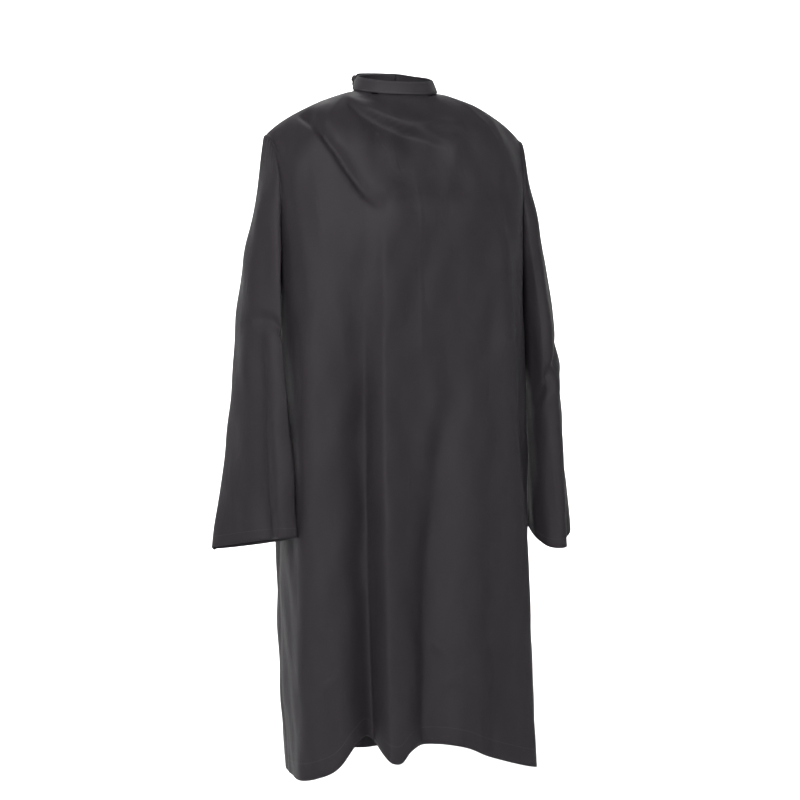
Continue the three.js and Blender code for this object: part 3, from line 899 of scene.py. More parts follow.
FRONT_FOLDS = (
    Fold(Run.DOWN, (
        (0.290, -0.098, 0.000, 0.032, 0.016), (0.400, -0.096, -0.012, 0.032, 0.015),
        (0.532, -0.094, -0.026, 0.033, 0.013), (0.860, -0.091, -0.042, 0.034, 0.012),
        (1.084, -0.087, -0.048, 0.034, 0.012), (1.300, -0.084, -0.050, 0.034, 0.012),
    )),
    Fold(Run.DOWN, (
        (0.190, -0.060, 0.000, 0.012, 0.034), (0.250, -0.060, 0.006, 0.012, 0.036),
        (0.532, -0.062, 0.012, 0.011, 0.038), (0.860, -0.062, 0.017, 0.010, 0.038),
        (1.090, -0.059, 0.020, 0.010, 0.038), (1.300, -0.057, 0.020, 0.010, 0.038),
    )),
    Fold(Run.DOWN, (
        (0.280, -0.176, 0.000, 0.016, 0.024), (0.420, -0.178, 0.009, 0.014, 0.024),
        (0.700, -0.180, 0.013, 0.014, 0.024), (1.300, -0.176, 0.014, 0.015, 0.024),
    )),
    Fold(Run.DOWN, (
        (0.380, 0.050, 0.000, 0.022, 0.034), (0.491, 0.048, -0.007, 0.022, 0.034),
        (0.696, 0.028, -0.015, 0.022, 0.034), (0.860, 0.010, -0.020, 0.021, 0.036),
        (1.020, 0.006, -0.024, 0.020, 0.036), (1.300, 0.004, -0.026, 0.020, 0.036),
    )),
    Fold(Run.DOWN, (
        (0.200, 0.144, 0.000, 0.022, 0.016), (0.258, 0.150, 0.005, 0.022, 0.016),
        (0.536, 0.166, 0.011, 0.024, 0.012), (0.868, 0.188, 0.014, 0.026, 0.012),
        (1.300, 0.206, 0.014, 0.026, 0.012),
    )),
    Fold(Run.DOWN, (
        (0.560, 0.118, 0.000, 0.020, 0.024), (0.860, 0.126, -0.006, 0.020, 0.026),
        (1.300, 0.134, -0.010, 0.022, 0.028),
    )),
    Fold(Run.ACROSS, (
        (-0.100, 0.022, 0.000, 0.026, 0.005), (-0.078, 0.044, 0.006, 0.026, 0.005),
        (-0.050, 0.060, 0.009, 0.028, 0.005), (-0.024, 0.072, 0.010, 0.030, 0.005),
        (0.008, 0.082, 0.009, 0.030, 0.005), (0.037, 0.094, 0.005, 0.026, 0.005),
        (0.070, 0.106, 0.000, 0.020, 0.005),
    )),
    Fold(Run.ACROSS, (
        (-0.100, 0.030, 0.000, 0.005, 0.026), (-0.078, 0.053, -0.007, 0.005, 0.028),
        (-0.050, 0.069, -0.010, 0.005, 0.032), (-0.024, 0.081, -0.011, 0.005, 0.036),
        (0.008, 0.091, -0.010, 0.005, 0.036), (0.037, 0.103, -0.006, 0.005, 0.032),
        (0.070, 0.115, 0.000, 0.005, 0.026),
    )),
    Fold(Run.ACROSS, (
        (-0.010, 0.076, 0.000, 0.012, 0.005), (0.014, 0.076, 0.006, 0.012, 0.005),
        (0.048, 0.073, 0.008, 0.012, 0.005), (0.079, 0.073, 0.005, 0.012, 0.005),
        (0.100, 0.076, 0.000, 0.012, 0.005),
    )),
    Fold(Run.ACROSS, (
        (-0.190, 0.036, 0.000, 0.024, 0.010), (-0.182, 0.044, -0.005, 0.024, 0.010),
        (-0.152, 0.090, -0.012, 0.026, 0.011), (-0.120, 0.142, -0.013, 0.026, 0.011),
        (-0.090, 0.187, -0.010, 0.026, 0.011), (-0.056, 0.218, 0.000, 0.024, 0.010),
    )),
    Fold(Run.ACROSS, (
        (-0.090, 0.216, 0.000, 0.030, 0.060), (-0.067, 0.214, 0.006, 0.030, 0.060),
        (0.030, 0.212, 0.009, 0.030, 0.060), (0.114, 0.216, 0.006, 0.030, 0.060),
        (0.160, 0.224, 0.000, 0.030, 0.060),
    )),
    Fold(Run.DOWN, (
        (0.140, 0.000, 0.0000, 0.003, 0.004), (0.180, 0.000, 0.0004, 0.003, 0.004),
        (0.430, 0.001, 0.0004, 0.003, 0.004), (0.560, 0.002, 0.0000, 0.003, 0.004),
    )),
    Fold(Run.ACROSS, (
        (-0.170, 1.020, 0.000, 0.004, 0.007), (-0.155, 1.005, 0.0022, 0.004, 0.007),
        (-0.135, 0.985, 0.0000, 0.004, 0.007),
    )),
    Fold(Run.ACROSS, (
        (0.010, 0.930, 0.000, 0.006, 0.004), (0.026, 0.945, 0.0026, 0.006, 0.004),
        (0.045, 0.960, 0.000, 0.006, 0.004),
    )),
    Fold(Run.ACROSS, (
        (0.030, 1.010, 0.000, 0.004, 0.006), (0.050, 1.000, 0.0026, 0.004, 0.006),
        (0.085, 0.985, 0.000, 0.004, 0.006),
    )),
)  # fmt: skip

BACK_FOLDS = (
    Fold(Run.DOWN, (
        (0.120, 0.046, 0.000, 0.026, 0.022), (0.350, 0.052, 0.005, 0.028, 0.024),
        (0.800, 0.060, 0.010, 0.030, 0.024), (1.300, 0.066, 0.014, 0.032, 0.024),
    )),
    Fold(Run.DOWN, (
        (0.250, 0.108, 0.000, 0.024, 0.018), (0.500, 0.112, -0.006, 0.026, 0.020),
        (1.300, 0.120, -0.015, 0.028, 0.020),
    )),
    Fold(Run.DOWN, (
        (0.200, -0.040, 0.000, 0.022, 0.026), (0.500, -0.036, -0.004, 0.022, 0.026),
        (1.300, -0.028, -0.010, 0.022, 0.028),
    )),
    Fold(Run.DOWN, (
        (0.150, -0.090, 0.000, 0.022, 0.030), (0.400, -0.094, 0.006, 0.022, 0.030),
        (1.300, -0.098, 0.014, 0.024, 0.032),
    )),
    Fold(Run.DOWN, (
        (0.300, -0.150, 0.000, 0.020, 0.020), (0.600, -0.148, -0.006, 0.022, 0.020),
        (1.300, -0.142, -0.013, 0.022, 0.022),
    )),
    Fold(Run.ACROSS, (
        (-0.150, 0.080, 0.000, 0.016, 0.024), (-0.080, 0.112, -0.003, 0.018, 0.026),
        (0.000, 0.124, -0.004, 0.018, 0.028), (0.080, 0.110, -0.003, 0.018, 0.026),
        (0.150, 0.078, 0.000, 0.016, 0.024),
    )),
)  # fmt: skip


def shaped(
    turn: Array, depth: Array, folds: Sequence[Fold], inset: float = 0.0, step: float = 0.0
) -> Array:
    """Body cloth with its folds.

    Args:
        turn: Turn of each grid point.
        depth: Depth of each grid point.
        folds: Folds, placed by X and depth.
        inset: How far inside the worn shape this cloth lies.
        step: How far its neckline stands out under the neckband's tab.

    Returns:
        The grid's points.
    """
    base = FORM.leaned(FORM.body(turn, depth))
    outward = base * np.array([1, 1, 0])
    outward /= np.linalg.norm(outward, axis=2, keepdims=True)
    under_tab = step * ramp(turn, 160.8, 174.4) * np.exp(-(((depth - depth[:1]) / 0.045) ** 2))
    base = base + outward * under_tab[..., None]
    normal = grid_normals(base)
    top = depth - depth[:1]
    seam_level = np.abs(np.cos(np.radians(turn)))
    clear_of_seam = ramp(seam_level, 0.02, 0.34)
    out = sum(fold.reach(base[..., 0], depth) for fold in folds) * clear_of_seam
    below_hole = ramp(depth, 0.30, 0.42)
    side_angle = 90 - np.degrees(np.arcsin(np.clip(np.abs(np.sin(np.radians(turn))), 0, 1)))
    out = out + SOFT_WAVES.offsets(base) * (0.35 + 0.65 * below_hole) + SMALL_WAVES.offsets(base)
    ditch = -0.0011 * np.exp(-((side_angle / 1.1) ** 2)) * ramp(depth, 0.29, 0.31)
    out = (out + ditch) * ramp(top, 0.0, 0.022)
    roll = -0.0008 * np.exp(-((top / 0.0025) ** 2))
    under = inset * ramp(top, -0.01, 0.03) * ramp(np.abs(turn), 91, 140)
    return base + normal * (out + roll - under)[..., None]


def column_depths(turns: Array, upper: int, lower: int) -> Array:
    """Depths of a body grid: close together near its upper edge, even below.

    Args:
        turns: Turns of the columns.
        upper: Rows in the part that turns down.
        lower: Rows in the part that hangs.

    Returns:
        Rows by columns.
    """
    share = np.concatenate([0.095 * (np.arange(upper) / upper) ** 2, np.linspace(0.095, 1, lower)])
    top = -FORM.upper_edge(turns)[..., 2]
    hem = FORM.hem_depth(turns)
    return top[None] + share[:, None] * (hem - top)[None]


@dataclass
class Hem:
    """A turned and stitched edge."""

    rows: int = 4
    gap: float = 0.0016
    stitch_row: int = 4


@dataclass
class Panel:
    """One cloth panel of the cape's body, with its turned hem."""

    name: str
    start: float
    end: float
    columns: int
    folds: tuple[Fold, ...]
    inset: float = 0.0
    step: float = 0.0
    thickness: float = 0.0006
    hem: Hem = field(default_factory=Hem)
    upper: int = 40
    lower: int = 165

    def build(self, dressing: Wardrobe, thread: Thread) -> list[bpy.types.Object]:
        """Makes the panel and its stitching.

        Args:
            dressing: The finishes.
            thread: The sewing thread.

        Returns:
            The panel first, then its stitches.
        """
        turns = FORM.even_turns(self.start, self.end, self.columns)
        depth = column_depths(turns, self.upper, self.lower)
        turn = np.broadcast_to(turns, depth.shape)
        grid = shaped(turn, depth, self.folds, self.inset, self.step)
        normals = grid_normals(grid)
        full = with_turned_hem(grid, normals, self.hem.rows, self.hem.gap)
        full = np.concatenate([self.tucked(turns, grid[0])[None], full])
        girth = np.linalg.norm(np.diff(FORM.ring(turns, np.full_like(turns, 0.5)), axis=0), axis=1)
        across = np.broadcast_to(np.concatenate([[0], np.cumsum(girth)]), depth.shape)
        step = np.full(len(turns), 0.005)
        uv = cloth_uv(across, -depth, self.hem.rows + 2, -step)
        uv = np.concatenate([uv[:1] + np.array([0, 0.004]), uv])
        panel = grid_object(self.name, full, uv)
        apply_modifier(panel, "SOLIDIFY", thickness=self.thickness, offset=0.0)
        dress(panel, dressing.cloth)
        lines = self.seam_lines(grid, normals)
        seams = thread.sew(f"{self.name}_stitching", lines)
        dress(seams, dressing.thread)
        return [panel, seams]

    def tucked(self, turns: Array, edge: Array) -> Array:
        """The seam allowance: up inside the neckband, and in under the shoulder and armhole seams.

        Args:
            turns: Turns of the columns.
            edge: The upper edge of the cloth.

        Returns:
            One more row of points, to go above the edge.
        """
        inner = np.where(np.abs(turns) > 90, 180 - np.abs(turns), np.abs(turns))
        at_neck = 1 - ramp(inner, 34.5, 36.5)
        outward = edge * np.array([1, 1, 0])
        outward /= np.linalg.norm(outward, axis=1, keepdims=True)
        up = edge + outward * 0.0010 + np.array([0, 0, 0.005])
        under = edge - outward * 0.003 + np.array([0, 0, -0.004])
        return under * (1 - at_neck[:, None]) + up * at_neck[:, None]

    def seam_lines(self, grid: Array, normals: Array) -> list[tuple[Array, Array]]:
        """Lines of stitches: along the hem, and down any free edge.

        Args:
            grid: The cloth's points.
            normals: Their outward normals.

        Returns:
            Pairs of points along a line and the normals there.
        """
        lift = self.thickness / 2 + 0.00005
        rows = [-1 - self.hem.stitch_row]
        lines = [(grid[i, 1:-1] + normals[i, 1:-1] * lift, normals[i, 1:-1]) for i in rows]
        for edge, column in ((self.start, 3), (self.end, -4)):
            if abs(edge) > 170:
                lines.append((grid[6:-1, column] + normals[6:-1, column] * lift, normals[6:-1, column]))
        return lines


@dataclass
class Body:
    """Front panel and the two back panels, which overlap at the middle of the back."""

    overlap_turn: float = 6.5
    wrap_step: float = 0.006
    hinge_start: float = 0.0519
    hinge_end: float = 0.125

    def build(self, dressing: Wardrobe, thread: Thread) -> None:
        """Makes the panels, and joins the front panel and its stitching to the gown body.

        Args:
            dressing: The finishes.
            thread: The sewing thread.
        """
        front = Panel("front_cloth", -90, 90, 240, FRONT_FOLDS, upper=34, lower=140)
        for piece in front.build(dressing, thread):
            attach(piece, "gown")
            report(piece)
        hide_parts("front_panel")
        for side in Side:
            self.build_back(side, dressing, thread)

    def build_back(self, side: Side, dressing: Wardrobe, thread: Thread) -> None:
        """Makes one back panel; the wearer's right one passes under the left.

        Args:
            side: Whose side the panel is on.
            dressing: The finishes.
            thread: The sewing thread.
        """
        past = 180 + self.overlap_turn
        start, end = (90, past) if side is Side.LEFT else (-past, -90)
        inset = 0.0 if side is Side.LEFT else self.wrap_step
        step = 0.007 if side is Side.LEFT else 0.0
        back = Panel(f"{side.word}_back_cloth", start, end, 130, BACK_FOLDS, inset, step, lower=165)
        pieces = back.build(dressing, thread)
        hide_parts(f"{side.word}_back_panel", f"{side.word}_back_flap")
        for piece in pieces:
            f"{side.word}_flap"
            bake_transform(piece)
            report(piece)


# --------------------------------------------------------------------------- sleeves


@dataclass
class Sleeve:
    """One sleeve, a single cloth sewn along the underarm; sizes are for the wearer's left."""

    side: Side
    cuff_centre: float
    cuff_half_width: float
    cuff_depth: float
    cuff_drop: float
    slant: float
    cuff_centre_y: float
    folds: tuple[Fold, ...]
    cut_size: tuple[float, float]
    cut_area: float
    cuff_half_depth: float = 0.080
    inner_clear: float = 0.012
    front_clear: float = 0.006
    outset: float = 0.0014
    cap_bulge: float = 0.012
    thickness: float = 0.0006
    rows: int = 170
    columns: int = 150
    hem: Hem = field(default_factory=Hem)
    blend_axis: tuple[float, float, float] = (0.995, 0.0, -0.0986)
    blend_span: tuple[float, float] = (0.2356, 0.2756)

    def surface(self, angle: Array, share: Array) -> Array:
        """Points of the smooth sleeve.

        Args:
            angle: Angles round it, as for the armhole.
            share: Shares of its length, 1 at the cuff.

        Returns:
            Points, with a last axis of 3.
        """
        s, c = np.sin(np.radians(angle)), np.cos(np.radians(angle))
        top = FORM.armhole(angle)
        cuff = np.stack([
            self.cuff_centre + self.cuff_half_width * c + self.slant * s,
            self.cuff_centre_y + self.cuff_half_depth * s,
            -(self.cuff_depth + self.cuff_drop * s),
        ], axis=-1)  # fmt: skip
        u = share[..., None]
        point = top * (1 - u) + cuff * u
        bulge = self.cap_bulge * np.sin(np.pi * share ** 0.8) * np.maximum(c, 0)
        hump = np.sin(np.pi * share ** 0.7)
        clear = self.inner_clear * hump * np.maximum(-c, 0) + self.front_clear * hump * np.maximum(-s, 0)
        point[..., 0] += self.outset + bulge + clear
        point[..., 0] += self.side.value * FORM.measure("shift", -point[..., 2])
        return point

    def build(self, dressing: Wardrobe, thread: Thread) -> None:
        """Makes the sleeve and its stitching.

        Args:
            dressing: The finishes.
            thread: The sewing thread.
        """
        angles = np.linspace(-180, 180, self.columns + 1)[:-1]
        shares = np.concatenate([0.04 * (np.arange(14) / 14), np.linspace(0.04, 1, self.rows - 14)])
        angle, share = np.meshgrid(angles, shares)
        base = self.surface(angle, share)
        normals = grid_normals(base, wraps=True)
        out = sum(fold.reach(angle, share) for fold in self.folds)
        out = out + 1.4 * SOFT_WAVES.offsets(base + 0.7) + 1.3 * SMALL_WAVES.offsets(base + 0.3)
        out = out * ramp(share, 0.0, 0.07)
        pucker = 0.0007 * np.cos(np.radians(angle) * 38) * np.exp(-share / 0.02) * (share > 0)
        ditch = -0.0008 * np.exp(-((share / 0.004) ** 2))
        under = -0.0009 * np.exp(-(((180 - np.abs(angle)) / 2.6) ** 2))
        grid = base + normals * (out + pucker + ditch + under)[..., None]
        tucked = grid[0] + np.array([-0.005, 0, 0])
        middle = grid[0].mean(axis=0)
        tucked = tucked + (middle - tucked) * 0.05
        normals = grid_normals(grid, wraps=True)
        full = with_turned_hem(grid, normals, self.hem.rows, self.hem.gap)
        full = np.concatenate([tucked[None], full])
        across = np.broadcast_to(np.radians(angles) * 0.075, grid.shape[:2])
        uv = cloth_uv(across, -share * 0.70, self.hem.rows + 2, np.full(len(angles), -0.005))
        uv = np.concatenate([uv[:1] + np.array([0, 0.005]), uv])
        lift = self.thickness / 2 + 0.00005
        row = -1 - self.hem.stitch_row
        ring = np.concatenate([grid[row] + normals[row] * lift, grid[row][:1] + normals[row][:1] * lift])
        ring_out = np.concatenate([normals[row], normals[row][:1]])
        if self.side is Side.RIGHT:
            mirror = np.array([-1, 1, 1])
            full = full[:, ::-1] * mirror
            uv = uv[:, ::-1]
            ring, ring_out = ring[::-1] * mirror, ring_out[::-1] * mirror
        sleeve = grid_object(f"{self.side.word}_sleeve_cloth", full, uv, wraps=True)
        apply_modifier(sleeve, "SOLIDIFY", thickness=self.thickness, offset=0.0)
        dress(sleeve, dressing.cloth)
        seam = thread.sew(f"{self.side.word}_cuff_stitching", [(ring, ring_out)])
        dress(seam, dressing.thread)
        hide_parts(f"{self.side.word}_sleeve")
        for piece in (sleeve, seam):
            f"{self.side.word}_arm"
            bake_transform(piece)
            report(piece)


LEFT_SLEEVE_FOLDS = (
    Fold(Run.ACROSS, (
        (-150, 0.500, 0.000, 0.020, 0.026), (-110, 0.505, -0.004, 0.020, 0.026),
        (-60, 0.515, -0.006, 0.018, 0.028), (-10, 0.500, -0.003, 0.020, 0.026),
        (30, 0.480, 0.000, 0.020, 0.026),
    )),
    Fold(Run.ACROSS, (
        (-150, 0.560, 0.000, 0.022, 0.030), (-80, 0.570, 0.005, 0.022, 0.030),
        (20, 0.560, 0.000, 0.022, 0.030),
    )),
    Fold(Run.DOWN, (
        (0.10, -60, 0.000, 16, 16), (0.35, -66, 0.005, 16, 16), (0.70, -74, 0.007, 16, 14),
        (1.10, -80, 0.009, 16, 14),
    )),
    Fold(Run.DOWN, (
        (0.45, -34, 0.000, 14, 16), (0.75, -36, -0.006, 14, 16), (1.10, -40, -0.010, 14, 16),
    )),
    Fold(Run.DOWN, (
        (0.20, 60, 0.000, 20, 20), (0.60, 66, -0.006, 20, 20), (1.10, 70, -0.012, 20, 20),
    )),
)  # fmt: skip

RIGHT_SLEEVE_FOLDS = (
    Fold(Run.DOWN, (
        (0.42, -58, 0.000, 16, 13), (0.65, -62, 0.005, 16, 13), (1.10, -68, 0.008, 16, 12),
    )),
    Fold(Run.DOWN, (
        (0.40, -36, 0.000, 12, 16), (0.65, -38, -0.008, 12, 16), (1.10, -42, -0.014, 12, 16),
    )),
    Fold(Run.DOWN, (
        (0.06, -20, 0.000, 16, 18), (0.25, -22, 0.005, 16, 18), (0.55, -18, 0.004, 16, 18),
        (0.80, -12, 0.000, 16, 18),
    )),
    Fold(Run.ACROSS, (
        (-140, 0.380, 0.000, 0.018, 0.022), (-90, 0.400, -0.005, 0.018, 0.022),
        (-40, 0.440, -0.006, 0.018, 0.022), (0, 0.470, 0.000, 0.018, 0.022),
    )),
    Fold(Run.DOWN, (
        (0.20, 64, 0.000, 20, 20), (0.60, 66, -0.007, 20, 20), (1.10, 70, -0.013, 20, 20),
    )),
)  # fmt: skip


# --------------------------------------------------------------------------- neckband


@dataclass
class Neckband:
    """The stand-up neckband with its overlapping tab, and the press studs that close it."""

    height: float = 0.022
    lean: float = 0.009
    lift: float = 0.0014
    inside: float = -0.0003
    outside: float = 0.0023
    wrap_turn: float = 14.0
    step: float = 0.007
    ramp_turn: float = 34.0
    start: float = -194.0
    end: float = 186.5
    tab_end: float = 239.5
    socket_angle: float = 226.5
    stud_pitch: float = 18.0

    def surface(self, angle: Array, share: Array) -> Array:
        """Points of the band's inner ply line, before any step outwards."""
        foot = FORM.neckline(angle)
        s, c = np.sin(np.radians(angle)), np.cos(np.radians(angle))
        inward = self.lean * share
        rise = self.lift + self.height * share
        return foot + np.stack([-inward * s, inward * c, rise], axis=-1)

    def point(self, angle: Array, share: Array, out: Array) -> tuple[Array, Array]:
        """Points of the band and its outward normals.

        Args:
            angle: Angles round the neck, past 180 on the tab.
            share: Shares of the band's height.
            out: How far out from the inner ply line.

        Returns:
            The points and the unit normals there.
        """
        along = self.surface(angle + 1, share) - self.surface(angle - 1, share)
        down = self.surface(angle, share - 0.1) - self.surface(angle, share + 0.1)
        normal = np.cross(down, along)
        normal /= np.linalg.norm(normal, axis=-1, keepdims=True)
        begin = 180 - self.wrap_turn - self.ramp_turn
        step = self.step * ramp(angle, begin, begin + self.ramp_turn)
        return self.surface(angle, share) + normal * (out + step)[..., None], normal

    def profile(self) -> tuple[Array, Array]:
        """Outline of the band's section, up the outside and down the inside.

        Returns:
            Shares of the band's height, and distances out.
        """
        rise = np.array([0, .015, .04, .085, .11, .135, .2, .35, .5, .65, .8, .865, .89, .915, .96, .985, 1])
        swell = 0.0005 * np.sin(np.pi * rise) ** 0.6
        groove = sum(0.0004 * np.exp(-(((rise - line) / 0.03) ** 2)) for line in (0.11, 0.89))
        edge = 0.0006 * (1 - ramp(rise, 0, 0.035)) + 0.0006 * ramp(rise, 0.965, 1)
        out = self.outside + swell - groove - edge
        back = self.inside - 0.5 * swell + edge
        return np.concatenate([rise, rise[::-1]]), np.concatenate([out, back[::-1]])

    def strip(self, name: str, start: float, end: float, round_end: float) -> bpy.types.Object:
        """One closed length of band.

        Args:
            name: The piece's name.
            start: First angle.
            end: Last angle.
            round_end: Degrees over which the far end rounds off, or 0.

        Returns:
            The piece.
        """
        count = int((end - start) / 1.5)
        angles = np.linspace(start, end, count + 1)
        if round_end:
            arc = end - round_end * (1 - np.sin(np.linspace(0, math.pi / 2, 12)))
            angles = np.concatenate([angles[angles < end - round_end - 0.5], arc])
        share, out = self.profile()
        angle = np.broadcast_to(angles[:, None], (len(angles), len(share)))
        if round_end:
            past = np.clip((angle - (end - round_end)) / round_end, 0, 0.998)
            width = np.sqrt(1 - past ** 2)
        else:
            width = np.ones_like(angle)
        share = 0.5 + (share[None] - 0.5) * width
        ripple = 0.0003 * np.sin(np.radians(angle) * 9.3) * np.sin(np.radians(angle) * 2.7)
        points, _ = self.point(angle, share, out[None] + ripple)
        across = np.broadcast_to(np.radians(angles)[:, None] * 0.07, angle.shape)
        uv = np.stack([across, share * self.height], axis=-1)
        strip = grid_object(name, points, uv, wraps=True)
        select_only(strip)
        bpy.ops.object.mode_set(mode="EDIT")
        bpy.ops.mesh.select_all(action="SELECT")
        bpy.ops.mesh.fill_holes(sides=0)
        bpy.ops.mesh.normals_make_consistent(inside=False)
        bpy.ops.object.mode_set(mode="OBJECT")
        return strip

    def stitch_lines(self, start: float, end: float) -> list[tuple[Array, Array]]:
        """The two rows of stitches along the outside of a length of band.

        Args:
            start: First angle.
            end: Last angle.

        Returns:
            Pairs of points along a row and the normals there.
        """
        angles = np.linspace(start, end, int((end - start) / 1.5))
        lines = []
        for share in (0.11, 0.89):
            level = np.full_like(angles, share)
            lines.append(self.point(angles, level, np.full_like(angles, self.outside + 0.0002)))
        return lines

    def place_at(self, angle: float) -> Matrix:
        """The place of a press-stud part: Z outwards through the middle of the band at an angle."""
        spot, normal = self.point(np.array([angle]), np.array([0.5]), np.array([0.0]))
        z = Vector(normal[0])
        x = Vector((0, 0, 1)).cross(z).normalized()
        turned = Matrix((x, z.cross(x), z)).transposed().to_4x4()
        return Matrix.Translation(Vector(spot[0])) @ turned

    def turned_part(self, name: str, radii: Sequence[tuple[float, float]], angle: float) -> bpy.types.Object:
        """A turned metal part standing on the band.

        Args:
            name: The piece's name.
            radii: Radius and height of each point of its outline, in millimetres.
            angle: Where on the band it stands.

        Returns:
            The piece.
        """
        outline = [(r / 1000, h / 1000) for r, h in radii]
        part = spun(name, outline, steps=48, merge=1e-6, inside=False)
        select_only(part)
        bpy.ops.object.shade_smooth_by_angle(angle=math.radians(50))
        bake_place(part, self.place_at(angle))
        return part

    def build(self, dressing: Wardrobe, thread: Thread) -> None:
        """Makes the band, the tab, their stitches and the press studs.

        Args:
            dressing: The finishes.
            thread: The sewing thread.
        """
        band = self.strip("neckband", self.start, self.end, 0)
        band_seams = thread.sew("neckband_stitching", self.stitch_lines(self.start + 1, self.end))
        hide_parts("neckband_lining", "neckband_interfacing", "neckband_face")
        tab = self.strip("neck_tab", self.end, self.tab_end, 9.0)
        tab_seams = thread.sew("neck_tab_stitching", self.stitch_lines(self.end, self.tab_end - 5))
        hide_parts("neck_tab_lining", "neck_tab_interfacing", "neck_tab_face")
        ends, _ = self.point(np.array([self.end, self.end + 9]), np.array([0.5, 0.5]), np.zeros(2))
        for piece in (band, band_seams):
            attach(piece, "gown")
        for piece in (tab, tab_seams):
            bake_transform(piece)
        for piece, finish in ((band, dressing.band), (tab, dressing.band)):
            dress(piece, finish)
        for piece in (band_seams, tab_seams):
            dress(piece, dressing.thread)
        for piece in (band, band_seams, tab, tab_seams):
            report(piece)
        self.build_snaps(dressing)

    def build_snaps(self, dressing: Wardrobe) -> None:
        """Makes the cap and the three studs, and finishes the CAD post and socket nodes.

        Args:
            dressing: The finishes.
        """
        seat = 9.55
        cap_outline = (
            (0.0, seat), (5.4, seat), (5.9, seat + 0.15), (6.0, seat + 0.45), (5.8, seat + 0.8),
            (5.2, seat + 1.2), (4.4, seat + 1.5), (3.4, seat + 1.7), (2.0, seat + 1.8), (0.0, seat + 1.8),
        )  # fmt: skip
        cap = self.turned_part("snap_cap_dome", cap_outline, self.socket_angle)
        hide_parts("snap_cap")
        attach(cap, "neck_tab")
        dress(cap, dressing.metal)
        report(cap)
        for k in range(3):
            angle = self.socket_angle - 360 + (k - 1) * self.stud_pitch
            stud = self.turned_part(f"snap_stud_{k + 1}_turned", STUD_OUTLINE, angle)
            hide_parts(f"snap_stud_{k + 1}")
            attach(stud, "gown")
            dress(stud, dressing.metal)
            report(stud)
        for name in ("snap_post_1", "snap_post_2", "snap_post_3", "snap_socket"):
            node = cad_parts[name]
            node.data.materials.clear()
            node.data.materials.append(dressing.metal)


STUD_OUTLINE = (
    (0.0, 2.55), (3.9, 2.55), (4.2, 2.65), (4.2, 2.85), (3.9, 2.95), (2.9, 3.0), (2.4, 3.1),
    (2.2, 3.3), (2.25, 3.5), (2.6, 3.7), (2.9, 3.9), (2.85, 4.15), (2.4, 4.45), (1.4, 4.62), (0.0, 4.65),
)  # fmt: skip


@dataclass
class Label:
    """The blank woven label, sewn by its top edge inside the back of the neck."""

    turn: float = 122.0
    width: float = 0.032
    drop: float = 0.024
    cut_size: tuple[float, float] = (0.030, 0.038)
    standoff: float = 0.005

    def build(self, dressing: Wardrobe) -> None:
        """Makes the label where the CAD label hangs.

        Args:
            dressing: The finishes.
        """
        start = 180 - (180 - self.turn) * (FORM.neck_turn / 90)
        rows, columns = 30, 40
        drop = np.linspace(0, self.drop, rows)
        share = np.linspace(-0.5, 0.5, columns)
        turns = start + share * self.width * 1000 / 3
        top = -FORM.upper_edge(turns)[:, 2]
        depth = top[None] + self.standoff + drop[:, None]
        turn = np.broadcast_to(turns, depth.shape)
        base = FORM.body(turn, depth)
        middle = np.zeros_like(base)
        middle[..., 2] = base[..., 2]
        inward = middle - base
        inward /= np.linalg.norm(inward, axis=2, keepdims=True)
        curl = 0.0012 * np.sin(np.pi * drop / self.drop)[:, None]
        grid = base + inward * (self.standoff + 0.0016 + curl)[..., None]
        uv = np.stack(np.meshgrid(share * self.width, -drop), axis=-1)
        label = grid_object("label", grid, uv)
        apply_modifier(label, "SOLIDIFY", thickness=0.0005, offset=0.0)
        dress(label, dressing.label)
        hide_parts("blank_label")
        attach(label, "gown")
        report(label)


# --------------------------------------------------------------------------- studio


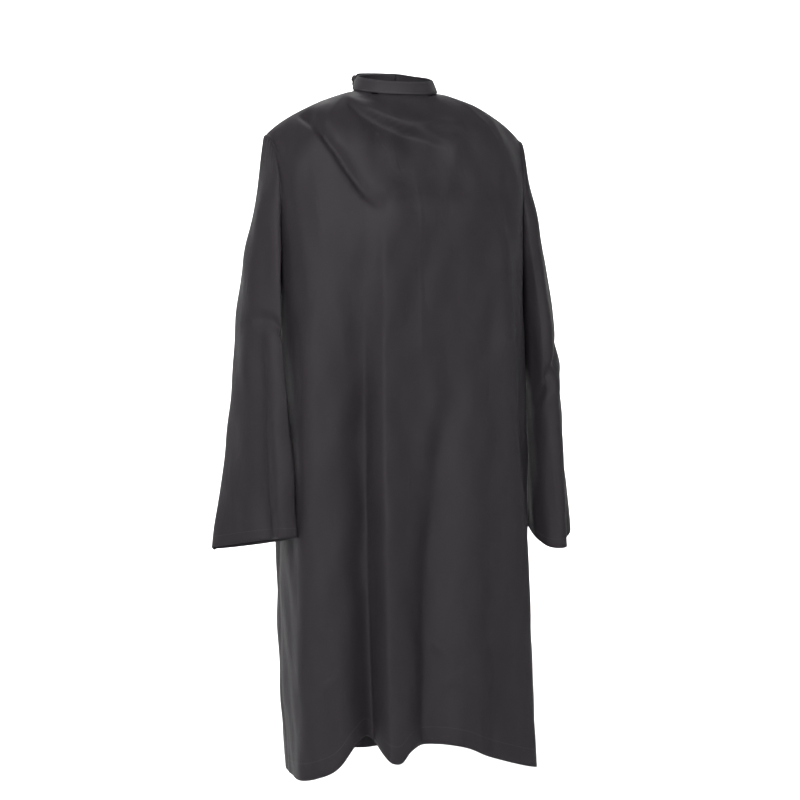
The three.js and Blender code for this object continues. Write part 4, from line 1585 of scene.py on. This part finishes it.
@dataclass
class Studio:
    """Pale floor that curves up into a wall all round, soft lights and the camera."""

    floor: float = -1.55
    radius: float = 6.5
    camera_azimuth: float = -16.0
    camera_distance: float = 3.2
    camera_height: float = -0.367
    aim_height: float = -0.540
    aim_aside: float = 0.0087
    lens: float = 83.0
    bend: float = 2.2
    backdrop: tuple[float, float, float] = (0.86, 0.86, 0.86)
    air: tuple[float, float, float] = (1, 0.99, 0.98)
    air_strength: float = 0.05

    def build(self) -> None:
        """Makes the stage, the lights and the camera."""
        self.build_stage()
        self.add_light("key", (-1.6, -3.5, 1.5), (0, 0, -0.6), (0.9, 0.9), 470)
        self.add_light("top", (0.2, -0.2, 2.8), (0, 0, -0.2), (1.2, 1.2), 10)
        self.add_light("floor", (0.3, 3.4, 3.0), (0, 3.6, -1.5), (2.4, 1.4), 150)
        self.add_light("wall", (0.3, 2.8, 2.6), (0, 6.4, 0.4), (2.8, 1.2), 280)
        world = bpy.data.worlds.new("studio_air")
        world.use_nodes = True
        background = world.node_tree.nodes["Background"]
        background.inputs["Color"].default_value = (*self.air, 1)
        background.inputs["Strength"].default_value = self.air_strength
        bpy.context.scene.world = world
        bpy.context.scene.view_settings.view_transform = "Standard"
        self.add_camera()

    def build_stage(self) -> None:
        """Spins the floor and its curved wall."""
        bend = self.bend
        arc = [
            (self.radius - bend + bend * math.sin(a), self.floor + bend * (1 - math.cos(a)))
            for a in np.linspace(0, math.pi / 2, 16)
        ]
        outline = [(0.0, self.floor), (2.0, self.floor), *arc, (self.radius, self.floor + 8)]
        stage = spun("studio_floor", outline, steps=72, merge=1e-5, inside=True)
        select_only(stage)
        bpy.ops.object.shade_smooth()
        material = bpy.data.materials.new("pale_backdrop")
        material.use_nodes = True
        shader = material.node_tree.nodes["Principled BSDF"]
        shader.inputs["Base Color"].default_value = (*self.backdrop, 1)
        shader.inputs["Roughness"].default_value = 0.9
        stage.data.materials.append(material)

    def add_light(
        self,
        name: str,
        place: tuple[float, float, float],
        aim: tuple[float, float, float],
        size: tuple[float, float],
        power: float,
    ) -> None:
        """Adds a rectangular soft light.

        Args:
            name: The light's name.
            place: Where it stands.
            aim: The point that it faces.
            size: Its width and height.
            power: Its power in watts.
        """
        data = bpy.data.lights.new(name, "AREA")
        data.shape = "RECTANGLE"
        data.size, data.size_y = size
        data.energy = power
        light = bpy.data.objects.new(name, data)
        light.location = place
        light.rotation_euler = (Vector(aim) - Vector(place)).to_track_quat("-Z", "Y").to_euler()
        bpy.context.scene.collection.objects.link(light)

    def add_camera(self) -> None:
        """Adds the camera and makes it the scene's own."""
        turn = math.radians(self.camera_azimuth)
        right = Vector((math.cos(turn), math.sin(turn), 0))
        back = Vector((math.sin(turn), -math.cos(turn), 0))
        aim = right * self.aim_aside + Vector((0, 0, self.aim_height))
        place = right * self.aim_aside + back * self.camera_distance
        place.z = self.camera_height
        data = bpy.data.cameras.new("camera")
        data.lens = self.lens
        data.sensor_width = 36
        camera = bpy.data.objects.new("camera", data)
        camera.location = place
        camera.rotation_euler = (aim - place).to_track_quat("-Z", "Y").to_euler()
        bpy.context.scene.collection.objects.link(camera)
        bpy.context.scene.camera = camera


def report(piece: bpy.types.Object) -> None:
    """Logs a finished piece and its size."""
    corners = np.array([v.co for v in piece.data.vertices])
    low, high = corners.min(axis=0).round(4), corners.max(axis=0).round(4)
    area = sum(p.area for p in piece.data.polygons)
    LOG.info("%s: %d faces, %.4f m2, %s to %s", piece.name, len(piece.data.polygons), area, low, high)


def main() -> None:
    """Builds the cape and its studio."""
    logging.basicConfig(level=logging.INFO, format="%(name)s %(message)s")
    Studio().build()
    dressing = Wardrobe()
    thread = Thread()
    Body().build(dressing, thread)
    left = Sleeve(
        Side.LEFT, cuff_centre=0.265, cuff_half_width=0.040, cuff_depth=0.768, cuff_drop=-0.026,
        slant=0.012, cuff_centre_y=-0.026, folds=LEFT_SLEEVE_FOLDS, cut_size=(0.41, 0.72),
        cut_area=0.203,
    )  # fmt: skip
    right = Sleeve(
        Side.RIGHT, cuff_centre=0.269, cuff_half_width=0.031, cuff_depth=0.775, cuff_drop=0.018,
        slant=0.053, cuff_centre_y=-0.038, folds=RIGHT_SLEEVE_FOLDS, cut_size=(0.43, 0.72),
        cut_area=0.212,
    )  # fmt: skip
    left.build(dressing, thread)
    right.build(dressing, thread)
    Neckband().build(dressing, thread)
    Label().build(dressing)


if __name__ == "__main__":
    main()
